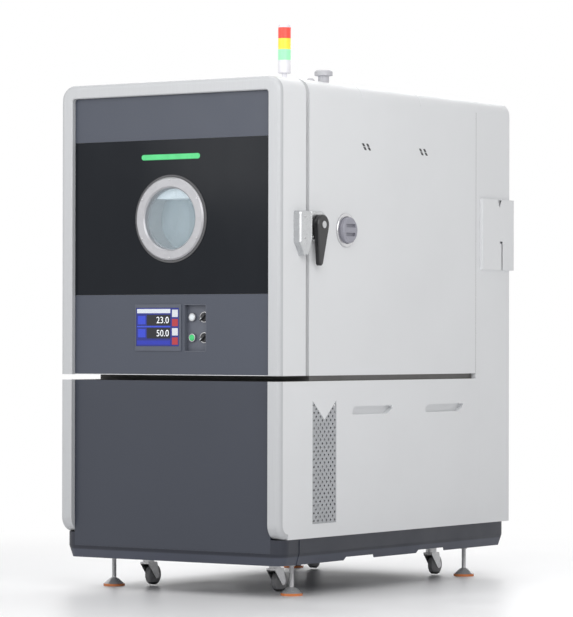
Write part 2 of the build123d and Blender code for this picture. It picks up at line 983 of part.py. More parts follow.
def door_frame():
    """Silver trim round three sides of the door's face, rounded outside and bevelled inside."""
    plate = front_prism(arch(half, slot_top, height, roof_radius), front, panel_face - panel_joint)
    rim = plate.faces().sort_by(Axis.Y)[0].edges().sort_by(Axis.Z)[1:]
    plate = fillet(rim, trim_round)
    opening = arch(trim_inner, slot_top - 10, trim_inner_top, trim_inner_radius)
    plate -= front_prism(opening, front - 1, panel_face + 1)
    bevel = loft(
        [
            Plane(origin=(0, front - 0.01, 0), x_dir=(1, 0, 0), z_dir=(0, -1, 0))
            * arch(trim_inner + trim_lip, slot_top - 10, trim_inner_top + trim_lip, trim_inner_radius + trim_lip),
            Plane(origin=(0, front + trim_lip, 0), x_dir=(1, 0, 0), z_dir=(0, -1, 0)) * opening,
        ]
    )
    return plate - bevel


def door_shell():
    """White sheet wrap of the door, with a flange behind the trim."""
    wrap = door_outline(0) - door_outline(sheet)
    shell = front_prism(wrap, panel_face, door_back)
    shelf_edge = trim_inner + 1
    ring = door_outline(0) - arch(
        shelf_edge, slot_top + sheet, trim_inner_top + 1, trim_inner_radius + 1
    )
    return shell + front_prism(ring, panel_face, panel_face + sheet)


def door_bands():
    """The two dark bands above and below the glass, the lower cut out for the controls."""
    edge = trim_inner - panel_joint
    top = arch(edge, band_high + panel_joint, trim_inner_top - panel_joint, trim_inner_radius - panel_joint)
    low = patch(-edge, edge, slot_top + sheet + panel_joint, band_low - panel_joint)
    low -= hmi_body(seat_gap)
    low -= pocket_outline(seat_gap)
    return group(
        front_prism(top, panel_face, panel_face + door_panel),
        front_prism(low, panel_face, panel_face + door_panel),
    )


def led_outline(grow):
    return Pos(*led_centre) * SlotOverall(led_length + 2 * grow, led_height + 2 * grow)


def door_glass_panel():
    edge = trim_inner - panel_joint
    glass = patch(-edge, edge, band_low + panel_joint, band_high - panel_joint)
    glass -= disc(window_bore + window_wall + seat_gap, 0, window_level)
    glass -= led_outline(seat_gap)
    return front_prism(glass, panel_face, panel_face + door_panel)


def led_bar():
    """Pill-shaped light bar, a little proud of the glass, with bevelled edges."""
    bar = front_prism(led_outline(0), panel_face - led_rise, panel_face + door_panel)
    return chamfer(bar.faces().sort_by(Axis.Y)[0].edges(), led_rise * 0.7)


def plug_outline(inset):
    reach = plug_clear + inset
    return patch(
        -cavity_half + reach,
        cavity_half - reach,
        cavity_low + reach,
        cavity_high - reach,
        plug_radius - inset,
    )


def plug_form(inset, start, end):
    """The raised plug, drawn in by an inset, with its rear edges bevelled."""
    form = front_prism(plug_outline(inset), start, end)
    return chamfer(form.faces().sort_by(Axis.Y)[-1].edges(), plug_edge - inset * 0.6)


def door_inner_pan():
    """Stainless inner skin of the door, with a raised plug that enters the mouth."""
    plug_face = casing_front + plug_reach
    pan = front_prism(door_outline(sheet + seat_gap), door_back - sheet, door_back)
    pan += plug_form(0, door_back - sheet, plug_face)
    pan -= plug_form(sheet, door_back - sheet - 1, plug_face - sheet)
    return pan - front_prism(
        disc(window_bore + window_wall + seat_gap, 0, window_level), door_back - 5, plug_face + 1
    )


def door_core():
    """Foam that fills the door and its plug, cut out for the window and the controls."""
    core_front = panel_face + door_panel + seat_gap
    core_back = door_back - sheet - seat_gap
    core = front_prism(door_outline(sheet + seat_gap), core_front, core_back)
    core += plug_form(sheet + seat_gap, core_back - 1, casing_front + plug_reach - sheet - seat_gap)
    core -= front_prism(
        disc(window_bore + window_wall + seat_gap, 0, window_level), core_front - 1, casing_front + plug_reach
    )
    core -= front_prism(hmi_body(seat_gap), core_front - 1, panel_face + hmi_back + 2)
    stems = stem_reach + pocket_wall + button_travel + 2
    core -= front_prism(pocket_outline(seat_gap), core_front - 1, panel_face + pocket_depth + stems)
    return core


def door_gasket():
    """Closed rubber ring: a wide foot on the door and a bevelled nose against the casing."""
    inner = mouth(gasket_in)
    inner = fillet(inner.vertices(), gasket_radius)
    outer = fillet(mouth(gasket_in + gasket_width).vertices(), gasket_radius + gasket_width)
    start = door_back + seat_gap
    ring = front_prism(outer - inner, start, start + gasket_foot)
    side = (gasket_width - gasket_nose) / 2
    nose_in = fillet(mouth(gasket_in + side).vertices(), gasket_radius + side)
    nose_out = fillet(
        mouth(gasket_in + side + gasket_nose).vertices(), gasket_radius + side + gasket_nose
    )
    nose = front_prism(nose_out - nose_in, start + gasket_foot - 1, casing_front - seat_gap)
    nose = chamfer(nose.faces().sort_by(Axis.Y)[-1].edges(), gasket_nose / 4)
    return ring + nose


def window_frame():
    """Front ring and deep barrel in one turning, with a small stop behind each pane."""
    ring_back = panel_face - seat_gap
    ring_front = panel_face - window_ring_rise
    wall = window_bore + window_wall
    end = casing_front + plug_reach
    points = [
        (window_bore, ring_front + window_bevel),
        (window_bore + window_bevel, ring_front),
        (window_ring_radius - window_bevel, ring_front),
        (window_ring_radius, ring_front + window_bevel),
        (window_ring_radius, ring_back),
        (wall, ring_back),
        (wall, end),
        (window_bore - pane_stop, end),
        (window_bore, end - pane_stop),
    ]
    for start in reversed(pane_depths):
        stop = panel_face + start + pane + seat_gap
        points += [
            (window_bore, stop + pane_stop),
            (window_bore - pane_stop, stop),
            (window_bore, stop),
        ]
    return turned_y(points, 0, window_level)


def window_panes():
    """Three round panes with air between them."""
    face = disc(window_bore - seat_gap, 0, window_level)
    starts = [panel_face + start for start in pane_depths]
    starts.append(casing_front + plug_reach - pane_stop - pane - seat_gap)
    return group(*[front_prism(face, start, start + pane) for start in starts])


# Operator panel

def hmi_body(grow):
    return patch(
        hmi_left + hmi_edge - grow,
        hmi_right - hmi_edge + grow,
        hmi_low + hmi_edge - grow,
        hmi_high - hmi_edge + grow,
    )


def hmi_bezel():
    """Front frame with bevelled edges on a box that sits in the door."""
    face = patch(hmi_left, hmi_right, hmi_low, hmi_high, hmi_corner)
    bezel = front_prism(face, panel_face - hmi_rise, panel_face - seat_gap)
    bezel = chamfer(bezel.faces().sort_by(Axis.Y)[0].edges(), hmi_bevel)
    bezel += front_prism(hmi_body(0), panel_face - 1, panel_face + hmi_back)
    recess = patch(
        screen_left - seat_gap, screen_right + seat_gap, screen_low - seat_gap, screen_high + seat_gap
    )
    depth_of_recess = screen_sink + screen + seat_gap
    return bezel - front_prism(
        recess, panel_face - hmi_rise - 1, panel_face - hmi_rise + depth_of_recess
    )


def hmi_screen():
    face = patch(screen_left, screen_right, screen_low, screen_high)
    start = panel_face - hmi_rise + screen_sink
    return front_prism(face, start, start + screen)


def pocket_outline(grow):
    return patch(
        pocket_left - grow,
        pocket_right + grow,
        pocket_low - grow,
        pocket_high + grow,
        pocket_corner + grow,
    )


def control_pocket():
    """Recessed tray with a collar round each push button and a hole for each stem."""
    floor = panel_face + pocket_depth
    tray = front_prism(pocket_outline(0), panel_face, floor + pocket_wall)
    tray -= front_prism(pocket_outline(-pocket_wall), panel_face - 1, floor)
    hole = button_radius + seat_gap
    for level in control_levels:
        collar = disc(hole + button_collar, button_x, level) - disc(hole, button_x, level)
        tray += front_prism(collar, floor - collar_height, floor + 0.5)
        tray -= front_prism(disc(stem_radius + seat_gap, button_x, level), floor - 1, floor + 5)
        tray -= front_prism(disc(stem_radius + run_gap, knob_x, level), floor - 1, floor + 5)
    return tray


def push_button(level):
    """Bevelled cap on a stem that runs back through the pocket."""
    floor = panel_face + pocket_depth
    top = floor - button_rise
    points = [
        (0, top),
        (button_radius - 2, top),
        (button_radius, top + 2),
        (button_radius, top + button_cap),
        (stem_radius, top + button_cap),
        (stem_radius, floor + pocket_wall + stem_reach),
        (0, floor + pocket_wall + stem_reach),
    ]
    return turned_y(points, button_x, level)


def selector_knob(level):
    """Round skirt with a raised grip bar that points down to the left."""
    floor = panel_face + pocket_depth
    seat = floor - seat_gap
    knob = turned_y(
        [
            (0, seat - knob_skirt),
            (knob_radius - 2, seat - knob_skirt),
            (knob_radius, seat),
            (stem_radius, seat),
            (stem_radius, floor + pocket_wall + stem_reach),
            (0, floor + pocket_wall + stem_reach),
        ],
        knob_x,
        level,
    )
    bar = Pos(knob_x, level) * Rot(0, 0, knob_turn) * Rectangle(knob_grip[0], knob_grip[1])
    top = seat - knob_skirt - knob_grip[2] + 1
    return knob + front_prism(bar, top, seat - knob_skirt + 0.5)


# Hinges on the left side

def hinge_half(low, leaf_from, leaf_to):
    """A leaf on the cabinet's side, its arm and its knuckle."""
    face = -half - seat_gap
    leaf = patch(face - hinge_leaf, face, leaf_from, leaf_to)
    arm_from, arm_to = sorted((hinge_y, leaf_to if leaf_to < hinge_y else leaf_from))
    arm = patch(hinge_x, face, arm_from - 1, arm_to + 1)
    arm -= patch(hinge_x + hinge_leaf, face + 1, arm_from - 2, arm_to + 2)
    bridge_y = sorted((leaf_to if leaf_to < hinge_y else leaf_from, hinge_y))
    inner = bridge_y[0] if leaf_to < hinge_y else bridge_y[1]
    toward = hinge_leaf if leaf_to < hinge_y else -hinge_leaf
    bridge = patch(hinge_x, face, *sorted((inner, inner - toward)))
    plan = leaf + arm + bridge + disc(hinge_knuckle_radius, hinge_x, hinge_y)
    return plan_prism(plan, low, low + hinge_knuckle)


def hinge_body_leaves():
    """Lower halves, fixed to the casing, each with an upright pin."""
    start = casing_front + 20
    leaves = []
    for level in hinge_levels:
        lower = hinge_half(level, start, start + hinge_leaf_length)
        pin = disc(hinge_pin_radius, hinge_x, hinge_y)
        lower += plan_prism(pin, level + hinge_knuckle - 1, level + 2 * hinge_knuckle - 4)
        leaves.append(lower)
    return group(*leaves)


def hinge_door_leaves():
    """Upper halves, fixed to the door, which lift on to the pins."""
    end = door_back - 20
    leaves = []
    for level in hinge_levels:
        low = level + hinge_knuckle + seat_gap
        upper = hinge_half(low, end - hinge_leaf_length, end)
        bore = disc(hinge_pin_radius + run_gap, hinge_x, hinge_y)
        upper -= plan_prism(bore, low - 1, low + hinge_knuckle - 3)
        leaves.append(upper)
    return group(*leaves)


# Latch on the right side

def handle_base():
    """D-shaped base plate with a boss and the lever's pin."""
    plate_front = at_depth(latch_plate_front)
    pivot = at_depth(latch_depth)
    middle = latch_level - 5
    outline = patch(plate_front, pivot + 15, middle - latch_plate_radius, middle + latch_plate_radius)
    outline += disc(latch_plate_radius, pivot + 15, middle)
    plate = side_prism(outline, half + seat_gap, half + latch_plate)
    plate = chamfer(plate.faces().sort_by(Axis.X)[-1].edges(), latch_edge)
    top = half + latch_plate + latch_boss
    plate += side_prism(disc(latch_boss_radius, pivot, latch_level), half + latch_plate - 1, top)
    pin_top = top + seat_gap + lever + seat_gap + 3
    plate += side_prism(disc(latch_pin_radius, pivot, latch_level), top - 1, pin_top)
    cap = turned_x(
        [
            (pin_top - 3, 0),
            (pin_top - 3, latch_pin_radius + 5),
            (pin_top - 1, latch_pin_radius + 5),
            (pin_top, latch_pin_radius + 3),
            (pin_top, 0),
        ],
        pivot,
        latch_level,
    )
    return plate + cap


def handle_lever():
    """Tapered lever that hangs from its pin, with bevelled edges."""
    pivot = at_depth(latch_depth)
    outline = make_hull(
        [
            *disc(lever_hub_radius, pivot, latch_level).edges(),
            *disc(lever_tip_radius, pivot - lever_tip[0], latch_level - lever_tip[1]).edges(),
        ]
    )
    low = half + latch_plate + latch_boss + seat_gap
    arm = side_prism(outline, low, low + lever)
    arm = chamfer(arm.faces().sort_by(Axis.X)[-1].edges(), lever_edge)
    return arm - side_prism(disc(latch_pin_radius + run_gap, pivot, latch_level), low - 1, low + lever + 1)


def door_keeper():
    """Block on the door's side with a tapered tail and a slot that faces the latch."""
    front_y = at_depth(keeper_front)
    back_y = at_depth(keeper_back)
    middle = (front_y + back_y) / 2 + 4
    tail = keeper_tail_width / 2
    outline = Polygon(
        (front_y, keeper_low),
        (middle - tail, keeper_low - keeper_tail + 14),
        (middle - tail + 6, keeper_low - keeper_tail),
        (middle + tail - 6, keeper_low - keeper_tail),
        (middle + tail, keeper_low - keeper_tail + 14),
        (back_y, keeper_low),
        (back_y, keeper_high),
        (front_y, keeper_high),
        align=None,
    )
    corners = outline.vertices().group_by(Axis.Y)[-1]
    outline = fillet(corners, 10)
    block = side_prism(outline, half + seat_gap, half + keeper_rise)
    block = chamfer(block.faces().sort_by(Axis.X)[-1].edges(), keeper_edge)
    slot = patch(
        back_y - keeper_slot[1],
        back_y + 1,
        latch_level - keeper_slot[0],
        latch_level + keeper_slot[0],
    )
    return block - side_prism(slot, half + keeper_rise / 3, half + keeper_rise * 0.7)


# Test port

def test_port_flange():
    """Flanged tube through the wall; the flange seats on the casing."""
    y = at_depth(port_depth)
    outer = port_bore + port_wall
    face = half + seat_gap
    inner_end = cavity_half + 0.2
    points = [
        (inner_end, port_bore),
        (inner_end, outer),
        (face, outer),
        (face, port_flange_radius),
        (face + port_flange - 2, port_flange_radius),
        (face + port_flange, port_flange_radius - 2),
        (face + port_flange, port_bore),
    ]
    return turned_x(points, y, port_level)


def test_port_plug():
    """Stepped stopper with a domed head and a finger grip sunk in it."""
    y = at_depth(port_depth)
    shank = port_bore - plug_fit
    face = half + seat_gap + port_flange
    tip = cavity_half + 6
    end = face + plug_head_rise - port_flange
    points = [
        (tip, 0),
        (tip, shank - 5),
        (tip + 12, shank),
        (face - 2, shank),
        (face - 2, plug_head),
        (end - 5, plug_head),
        (end, plug_head - 5),
        (end, 0),
    ]
    stopper = turned_x(points, y, port_level)
    for side in (-1, 1):
        middle = port_level + side * (plug_grip[1] + 4)
        grip = patch(
            y - plug_grip[0] / 2, y + plug_grip[0] / 2, middle - plug_grip[1] / 2, middle + plug_grip[1] / 2
        )
        stopper -= side_prism(grip, end - plug_grip[2], end + 1)
    return stopper


# Signal tower and roof vents

def tower_tier(index):
    """Lowest and highest point of a lens, counted from the lowest."""
    low = height + tower_stub + tower_base + index * tower_lens
    return low + seat_gap / 2, low + tower_lens - seat_gap / 2


def signal_tower_body():
    """Stub, base, core rod and cap in one turning; the lenses slip round the core."""
    base_low = height + tower_stub
    base_high = base_low + tower_base
    cap_low = base_high + 3 * tower_lens
    points = [
        (0, height + seat_gap),
        (tower_stub_radius + 9, height + seat_gap),
        (tower_stub_radius + 9, height + 4),
        (tower_stub_radius, height + 7),
        (tower_stub_radius, base_low),
        (tower_radius - 2, base_low),
        (tower_radius, base_low + 2),
        (tower_radius, base_high),
        (tower_core, base_high),
        (tower_core, cap_low),
        (tower_radius, cap_low),
        (tower_radius, cap_low + tower_cap - 5),
        (tower_radius - 5, cap_low + tower_cap),
        (0, cap_low + tower_cap),
    ]
    return turned_z(points, tower_x, at_depth(tower_depth))


def signal_lens(index):
    """Hollow lens with a shallow groove at its lower end."""
    low, high = tower_tier(index)
    inside = tower_core + seat_gap
    points = [
        (inside, low),
        (tower_radius - 1, low),
        (tower_radius - 1, low + 1.5),
        (tower_radius, low + 1.5),
        (tower_radius, high),
        (inside, high),
    ]
    return turned_z(points, tower_x, at_depth(tower_depth))


def roof_vents():
    """Breather cap, wider at its head than at its neck, and a low relief nub beside it."""
    base = height + seat_gap
    head_low = height + breather_neck
    head_high = head_low + breather_head
    cap = turned_z(
        [
            (0, base),
            (breather_neck_radius, base),
            (breather_neck_radius, head_low),
            (breather_radius, head_low + 3),
            (breather_radius, head_high - 5),
            (breather_radius - 6, head_high),
            (0, head_high),
        ],
        breather_x,
        at_depth(breather_depth),
    )
    nub = turned_z(
        [
            (0, base),
            (nub_radius, base),
            (nub_radius, base + nub_height * 0.4),
            (nub_radius * 0.6, base + nub_height),
            (0, base + nub_height),
        ],
        breather_x,
        at_depth(nub_depth),
    )
    return group(cap, nub)


# Rear column and what is fixed to it

def column_form(inset, start):
    """The column's outer form, drawn in by an inset."""
    section = arch(half - inset, skirt_top + inset, height - inset, roof_radius - inset)
    return front_prism(section, start, rear - inset)


def rear_column():
    """Rounded rear casing over the full height, with an opening for the service panel."""
    outer = column_form(0, column_front)
    outer = fillet(outer.faces().sort_by(Axis.Y)[-1].edges(), rear_round)
    inner = column_form(sheet, column_front - 1)
    inner = chamfer(inner.faces().sort_by(Axis.Y)[-1].edges(), rear_round * 0.6)
    column = outer - inner
    column -= front_prism(rear_opening(seat_gap), rear - sheet - 1, rear + 1)
    start = column_front - plinth_end + seat_gap
    tongue = patch(
        half - plinth_inset + seat_gap, half, slot_bottom + seat_gap, slot_top - seat_gap
    )
    block = front_prism(tongue, start, column_front + sheet)
    return column + block + mirrored(block)


def rear_opening(grow):
    return patch(
        -rear_panel_half - grow,
        rear_panel_half + grow,
        rear_panel_low - grow,
        rear_panel_high + grow,
        rear_panel_corner + grow,
    )


def rear_panel():
    """Folded service panel with air slots, the mains gland and the drain spigot."""
    panel = folded_panel(rear_opening(0), flange, from_rear_face)
    slots = []
    for row in range(louvre_rows):
        for column in range(louvre_columns):
            x = (column - (louvre_columns - 1) / 2) * louvre_pitch[0]
            z = louvre_low + row * louvre_pitch[1]
            slots.append(from_rear_face(Pos(x, z) * Rectangle(*louvre), -1, sheet + 1))
    panel -= slots
    gland = disc(gland_radius, *gland_place)
    panel += front_prism(gland, rear - sheet, rear + gland_reach)
    panel -= front_prism(disc(gland_bore, *gland_place), rear - sheet - 1, rear + gland_reach + 1)
    panel += front_prism(disc(drain_flange, *drain_place), rear - sheet, rear + 4)
    panel += front_prism(disc(drain_radius, *drain_place), rear, rear + gland_reach)
    panel -= front_prism(disc(drain_bore, *drain_place), rear - sheet - 1, rear + gland_reach + 1)
    return panel


def side_cable_box():
    """Shallow hooded box that wraps the rear corner, with a V notch and a hooked cable slot."""
    face = half + seat_gap
    back = rear + seat_gap
    out_x = half + cable_box_rise
    out_y = rear + cable_box_back
    start = column_front + 2
    plan = patch(face, out_x, start, out_y) + patch(half - cable_box_wrap, out_x, back, out_y)
    box = plan_prism(plan, cable_box_low, cable_box_high)
    box = fillet(box.edges().filter_by(Axis.Z).group_by(Axis.X)[-1], 3)
    wall = sheet
    hollow = patch(face - 5, out_x - wall, start + wall, out_y - wall)
    hollow += patch(half - cable_box_wrap + wall, out_x - wall, back - 5, out_y - wall)
    box -= plan_prism(hollow, cable_box_low + wall, cable_box_high - wall)
    notch_y = at_depth(cable_slot_depth) - 14
    notch = Polygon(
        (notch_y - cable_notch[0] / 2, cable_box_high + 1),
        (notch_y, cable_box_high - cable_notch[1]),
        (notch_y + cable_notch[0] / 2, cable_box_high + 1),
        align=None,
    )
    box -= side_prism(notch, face - 1, out_x + 1)
    slot_y = at_depth(cable_slot_depth)
    low = cable_box_low - 1
    high = cable_box_low + cable_slot[1]
    slot = patch(slot_y, slot_y + cable_slot[0], low, high)
    slot += patch(slot_y - cable_slot_hook + cable_slot[0], slot_y + cable_slot[0], high - cable_slot[0], high)
    box -= side_prism(slot, face - 1, out_x + 1)
    return box


# Machinery

def compressor(x, distance):
    """Domed steel shell on a square foot plate."""
    y = at_depth(distance)
    low = floor_level + skirt_sheet + seat_gap
    top = low + compressor_height
    foot = Pos(x, y) * Rectangle(compressor_foot[0], compressor_foot[0])
    foot = chamfer(foot.vertices(), compressor_foot[0] / 8)
    shell = plan_prism(foot, low, low + compressor_foot[1])
    shell += turned_z(
        [
            (0, low),
            (compressor_radius, low),
            (compressor_radius, top - compressor_dome),
            (compressor_radius * 0.6, top - compressor_dome * 0.15),
            (0, top),
        ],
        x,
        y,
    )
    inside = compressor_radius - compressor_wall
    shell -= turned_z(
        [
            (0, low - 1),
            (inside, low - 1),
            (inside, top - compressor_dome),
            (0, top - compressor_dome),
        ],
        x,
        y,
    )
    return shell


def condenser_faces():
    """Inner and outer face of the condenser core, which stands behind the right-hand grille."""
    outer = half - condenser_out
    return outer - condenser_core, outer


def condenser():
    """Finned core in a standing frame, with the fan's shroud ring and motor bracket."""
    inner, outer = condenser_faces()
    y = at_depth(condenser_depth)
    z = condenser_centre_level
    wide = condenser_span[0] / 2
    tall = condenser_span[1] / 2
    low = floor_level + skirt_sheet + seat_gap
    frame = patch(y - wide, y + wide, z - tall, z + tall) + patch(y - wide, y + wide, low, z)
    frame -= patch(
        y - wide + condenser_frame,
        y + wide - condenser_frame,
        z - tall + condenser_frame,
        z + tall - condenser_frame,
    )
    frame -= patch(y - wide + condenser_frame, y + wide - condenser_frame, low - 1, z - tall - condenser_frame)
    unit = side_prism(frame, inner, outer)
    pitch = condenser_span[1] / (condenser_fins + 1)
    for index in range(condenser_fins):
        level = z - tall + (index + 1) * pitch
        fin = patch(y - wide + 1, y + wide - 1, level - condenser_fin / 2, level + condenser_fin / 2)
        unit += side_prism(fin, inner + 4, outer - 4)
    for side in (-1, 1):
        tube = Pos((inner + outer) / 2, y + side * wide * 0.5) * Rectangle(*condenser_tube)
        unit += plan_prism(tube, z - tall + 1, z + tall - 1)
    ring_in = cooling_fan_radius + cooling_fan_clear
    plate = patch(y - wide, y + wide, z - tall, z + tall) - disc(ring_in, y, z)
    unit += side_prism(plate, inner - shroud_wall, inner + 1)
    ring = disc(ring_in + shroud_wall, y, z) - disc(ring_in, y, z)
    unit += side_prism(ring, inner - shroud_length, inner)
    motor_front = inner - shroud_length
    motor_back = motor_front - cooling_motor[1]
    unit += side_prism(disc(cooling_motor[0], y, z), motor_back, motor_front)
    for turn in (90, 210, 330):
        arm = Pos(y, z) * Rot(0, 0, turn) * patch(0, ring_in + shroud_wall, -6, 6)
        unit += side_prism(arm, motor_front - 4, motor_front + 1)
    bore = disc(cooling_shaft + run_gap, y, z)
    return unit - side_prism(bore, motor_back + 12, motor_front + 2)


def condenser_fan():
    """Pitched blades lofted from hub to tip, with the shaft that runs in the motor."""
    inner, _ = condenser_faces()
    y = at_depth(condenser_depth)
    z = condenser_centre_level
    plane_x = inner - shroud_length / 2 + 1
    hub_half = shroud_length / 2 - 5
    rotor = side_prism(disc(cooling_fan_hub, y, z), plane_x - hub_half, plane_x + hub_half)
    shaft_end = inner - shroud_length - cooling_motor[1] + 14
    rotor += side_prism(disc(cooling_shaft, y, z), shaft_end, plane_x)
    for index in range(cooling_fan_blades):
        rotor += Pos(plane_x, y, z) * Rot(index * 360 / cooling_fan_blades, 0, 0) * cooling_blade()
    return rotor


def cooling_blade():
    """One blade along +Z: chord and pitch change from hub to tip."""
    sections = []
    stations = ((cooling_fan_hub - 4, 0.5, cooling_fan_pitch + 8), (cooling_fan_radius, 1.0, cooling_fan_pitch - 8))
    for radius, share, pitch in stations:
        face = Rot(0, 0, 90 - pitch) * Rectangle(cooling_fan_chord * share, 3)
        sections.append(Plane.XY.offset(radius) * face)
    return loft(sections)


def control_cabinet():
    """Closed sheet-metal box with a lid rim, fixed behind the insulation."""
    start = insulation_back + seat_gap
    outline = patch(-cabinet_half, cabinet_half, cabinet_low, cabinet_high)
    box = front_prism(outline, start, start + cabinet_depth)
    box -= front_prism(offset(outline, -sheet), start + sheet, start + cabinet_depth - sheet)
    lid = front_prism(offset(outline, 6, kind=Kind.INTERSECTION), start + cabinet_depth - 16, start + cabinet_depth)
    return box + (lid - front_prism(offset(outline, -1), start, start + cabinet_depth - sheet))


def build():
    """Every piece by the name of its file."""
    panel = side_panel()
    screen_piece = grille()
    feet = []
    for distance in foot_depths:
        for side in (-1, 1):
            feet.append(levelling_foot(side * foot_x, at_depth(distance)))
    front_row, rear_row = [at_depth(distance) for distance in caster_depths]
    return {
        "base_tray": base_tray(),
        "levelling_feet": group(*feet),
        "chassis_frame": chassis_frame(),
        "lower_front_panel": lower_front_panel(),
        "lower_corner_strips": corner_strips(),
        "lower_side_panel_right": panel,
        "lower_side_panel_left": mirrored(panel),
        "side_grilles": group(screen_piece, mirrored(screen_piece)),
        "upper_casing": upper_casing(),
        "insulation": insulation(),
        "inner_liner": inner_liner(),
        "shelves": group(*[shelf(level) for level in rail_levels]),
        "air_baffle": air_baffle(),
        "fan_rotor": fan_rotor(),
        "fan_motor": fan_motor(),
        "heater": heater(),
        "evaporator": evaporator(),
        "rear_column": rear_column(),
        "rear_panel": rear_panel(),
        "side_cable_box": side_cable_box(),
        "control_cabinet": control_cabinet(),
        "compressors": group(*[compressor(*place) for place in compressor_places]),
        "condenser": condenser(),
        "condenser_fan": condenser_fan(),
        "door_frame": door_frame(),
        "door_shell": door_shell(),
        "door_bands": door_bands(),
        "door_glass_panel": door_glass_panel(),
        "door_core": door_core(),
        "door_inner_pan": door_inner_pan(),
        "door_gasket": door_gasket(),
        "window_frame": window_frame(),
        "window_panes": window_panes(),
        "led_bar": led_bar(),
        "hmi_bezel": hmi_bezel(),
        "hmi_screen": hmi_screen(),
        "control_pocket": control_pocket(),
        "button_white": push_button(control_levels[0]),
        "button_green": push_button(control_levels[1]),
        "knob_upper": selector_knob(control_levels[0]),
        "knob_lower": selector_knob(control_levels[1]),
        "hinge_body_leaves": hinge_body_leaves(),
        "hinge_door_leaves": hinge_door_leaves(),
        "door_keeper": door_keeper(),
        "handle_base": handle_base(),
        "handle_lever": handle_lever(),
        "test_port_flange": test_port_flange(),
        "test_port_plug": test_port_plug(),
        "signal_tower_body": signal_tower_body(),
        "signal_lens_green": signal_lens(0),
        "signal_lens_yellow": signal_lens(1),
        "signal_lens_red": signal_lens(2),
        "roof_vents": roof_vents(),
        "caster_fork_left": caster_fork(-caster_x, front_row),
        "caster_fork_right": caster_fork(caster_x, front_row),
        "rear_caster_forks": group(caster_fork(-caster_x, rear_row), caster_fork(caster_x, rear_row)),
        "wheel_front_left": caster_wheel(-caster_x, front_row),
        "wheel_front_right": caster_wheel(caster_x, front_row),
        "wheel_rear_left": caster_wheel(-caster_x, rear_row),
        "wheel_rear_right": caster_wheel(caster_x, rear_row),
    }


os.makedirs("parts", exist_ok=True)
for name, shape in build().items():
    export_step(shape, f"parts/{name}.step")
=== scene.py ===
import json
import math

import bmesh
import bpy
from mathutils import Matrix, Vector


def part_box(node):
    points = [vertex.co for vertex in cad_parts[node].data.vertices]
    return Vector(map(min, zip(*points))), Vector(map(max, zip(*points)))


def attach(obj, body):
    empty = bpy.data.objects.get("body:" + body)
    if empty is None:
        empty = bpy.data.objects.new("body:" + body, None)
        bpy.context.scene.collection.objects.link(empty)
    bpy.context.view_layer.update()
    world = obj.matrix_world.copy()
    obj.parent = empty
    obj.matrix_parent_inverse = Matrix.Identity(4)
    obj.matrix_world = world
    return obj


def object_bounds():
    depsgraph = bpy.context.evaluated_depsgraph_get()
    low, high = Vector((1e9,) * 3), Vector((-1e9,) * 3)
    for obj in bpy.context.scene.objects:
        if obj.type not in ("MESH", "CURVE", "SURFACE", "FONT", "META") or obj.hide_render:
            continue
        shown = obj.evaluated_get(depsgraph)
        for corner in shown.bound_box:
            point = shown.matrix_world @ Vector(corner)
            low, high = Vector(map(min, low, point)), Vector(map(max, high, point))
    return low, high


# Looks of a reach-in environmental test chamber. Metres, in the frame of the CAD model:
# X to the right of someone facing the door, Y to the back, Z up, floor at zero.

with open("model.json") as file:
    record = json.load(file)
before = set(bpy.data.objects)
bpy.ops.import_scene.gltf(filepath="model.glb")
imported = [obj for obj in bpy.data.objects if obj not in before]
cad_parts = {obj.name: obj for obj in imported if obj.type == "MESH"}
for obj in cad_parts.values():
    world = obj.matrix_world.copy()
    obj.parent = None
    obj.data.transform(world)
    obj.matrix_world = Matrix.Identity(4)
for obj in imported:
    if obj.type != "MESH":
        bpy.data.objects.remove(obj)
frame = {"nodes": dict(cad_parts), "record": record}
cad_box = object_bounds()

MM = 0.001

# The photograph's viewpoint, as fitted to the cabinet's corners
CAMERA_AZIMUTH = 34.23
CAMERA_ELEVATION = -0.03
CAMERA_ROLL = 0.11
CAMERA_DISTANCE = 12.311
CAMERA_TARGET = Vector((0.0, 0.0, 0.925))
PHOTO_FOCAL_PX = 1616.3
PHOTO_CENTRE_PX = (296.23, 156.86)
PHOTO_WINDOW_PX = (150.0, -12.0)
PHOTO_ENLARGED = 2.0
IMAGE_SIZE = (573, 617)
SENSOR = 36.0

# How strongly the surround lights the object
WORLD_STRENGTH = 0.31


def front_middle(node, behind=0.0):
    """The middle of the front of a node's box, moved back by a distance."""
    low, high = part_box(node)
    return Vector(((low.x + high.x) / 2, low.y + behind, (low.z + high.z) / 2))


def half_width(node):
    low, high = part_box(node)
    return (high.x - low.x) / 2


# Where the dressing pieces sit, measured from the CAD nodes
WINDOW = front_middle("window_frame")
RING_RADIUS = half_width("window_frame")
GLASS_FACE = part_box("door_glass_panel")[0].y
SIDE_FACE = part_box("upper_casing")[1].x
REAR_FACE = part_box("rear_column")[1].y
BASE_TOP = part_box("base_tray")[1].z
FRONT_FACE = cad_box[0][1]

TO_FRONT = (0, -1, 0)
TO_BACK = (0, 1, 0)
TO_RIGHT = (1, 0, 0)
DOWN = (0, 0, -1)

# Edges of a turned piece sharper than this stay crisp
SHARP_ANGLE = math.radians(32)


# Materials

# The inner panes hide this many times more than the outer one
INNER_PANE_TINT = 3.6


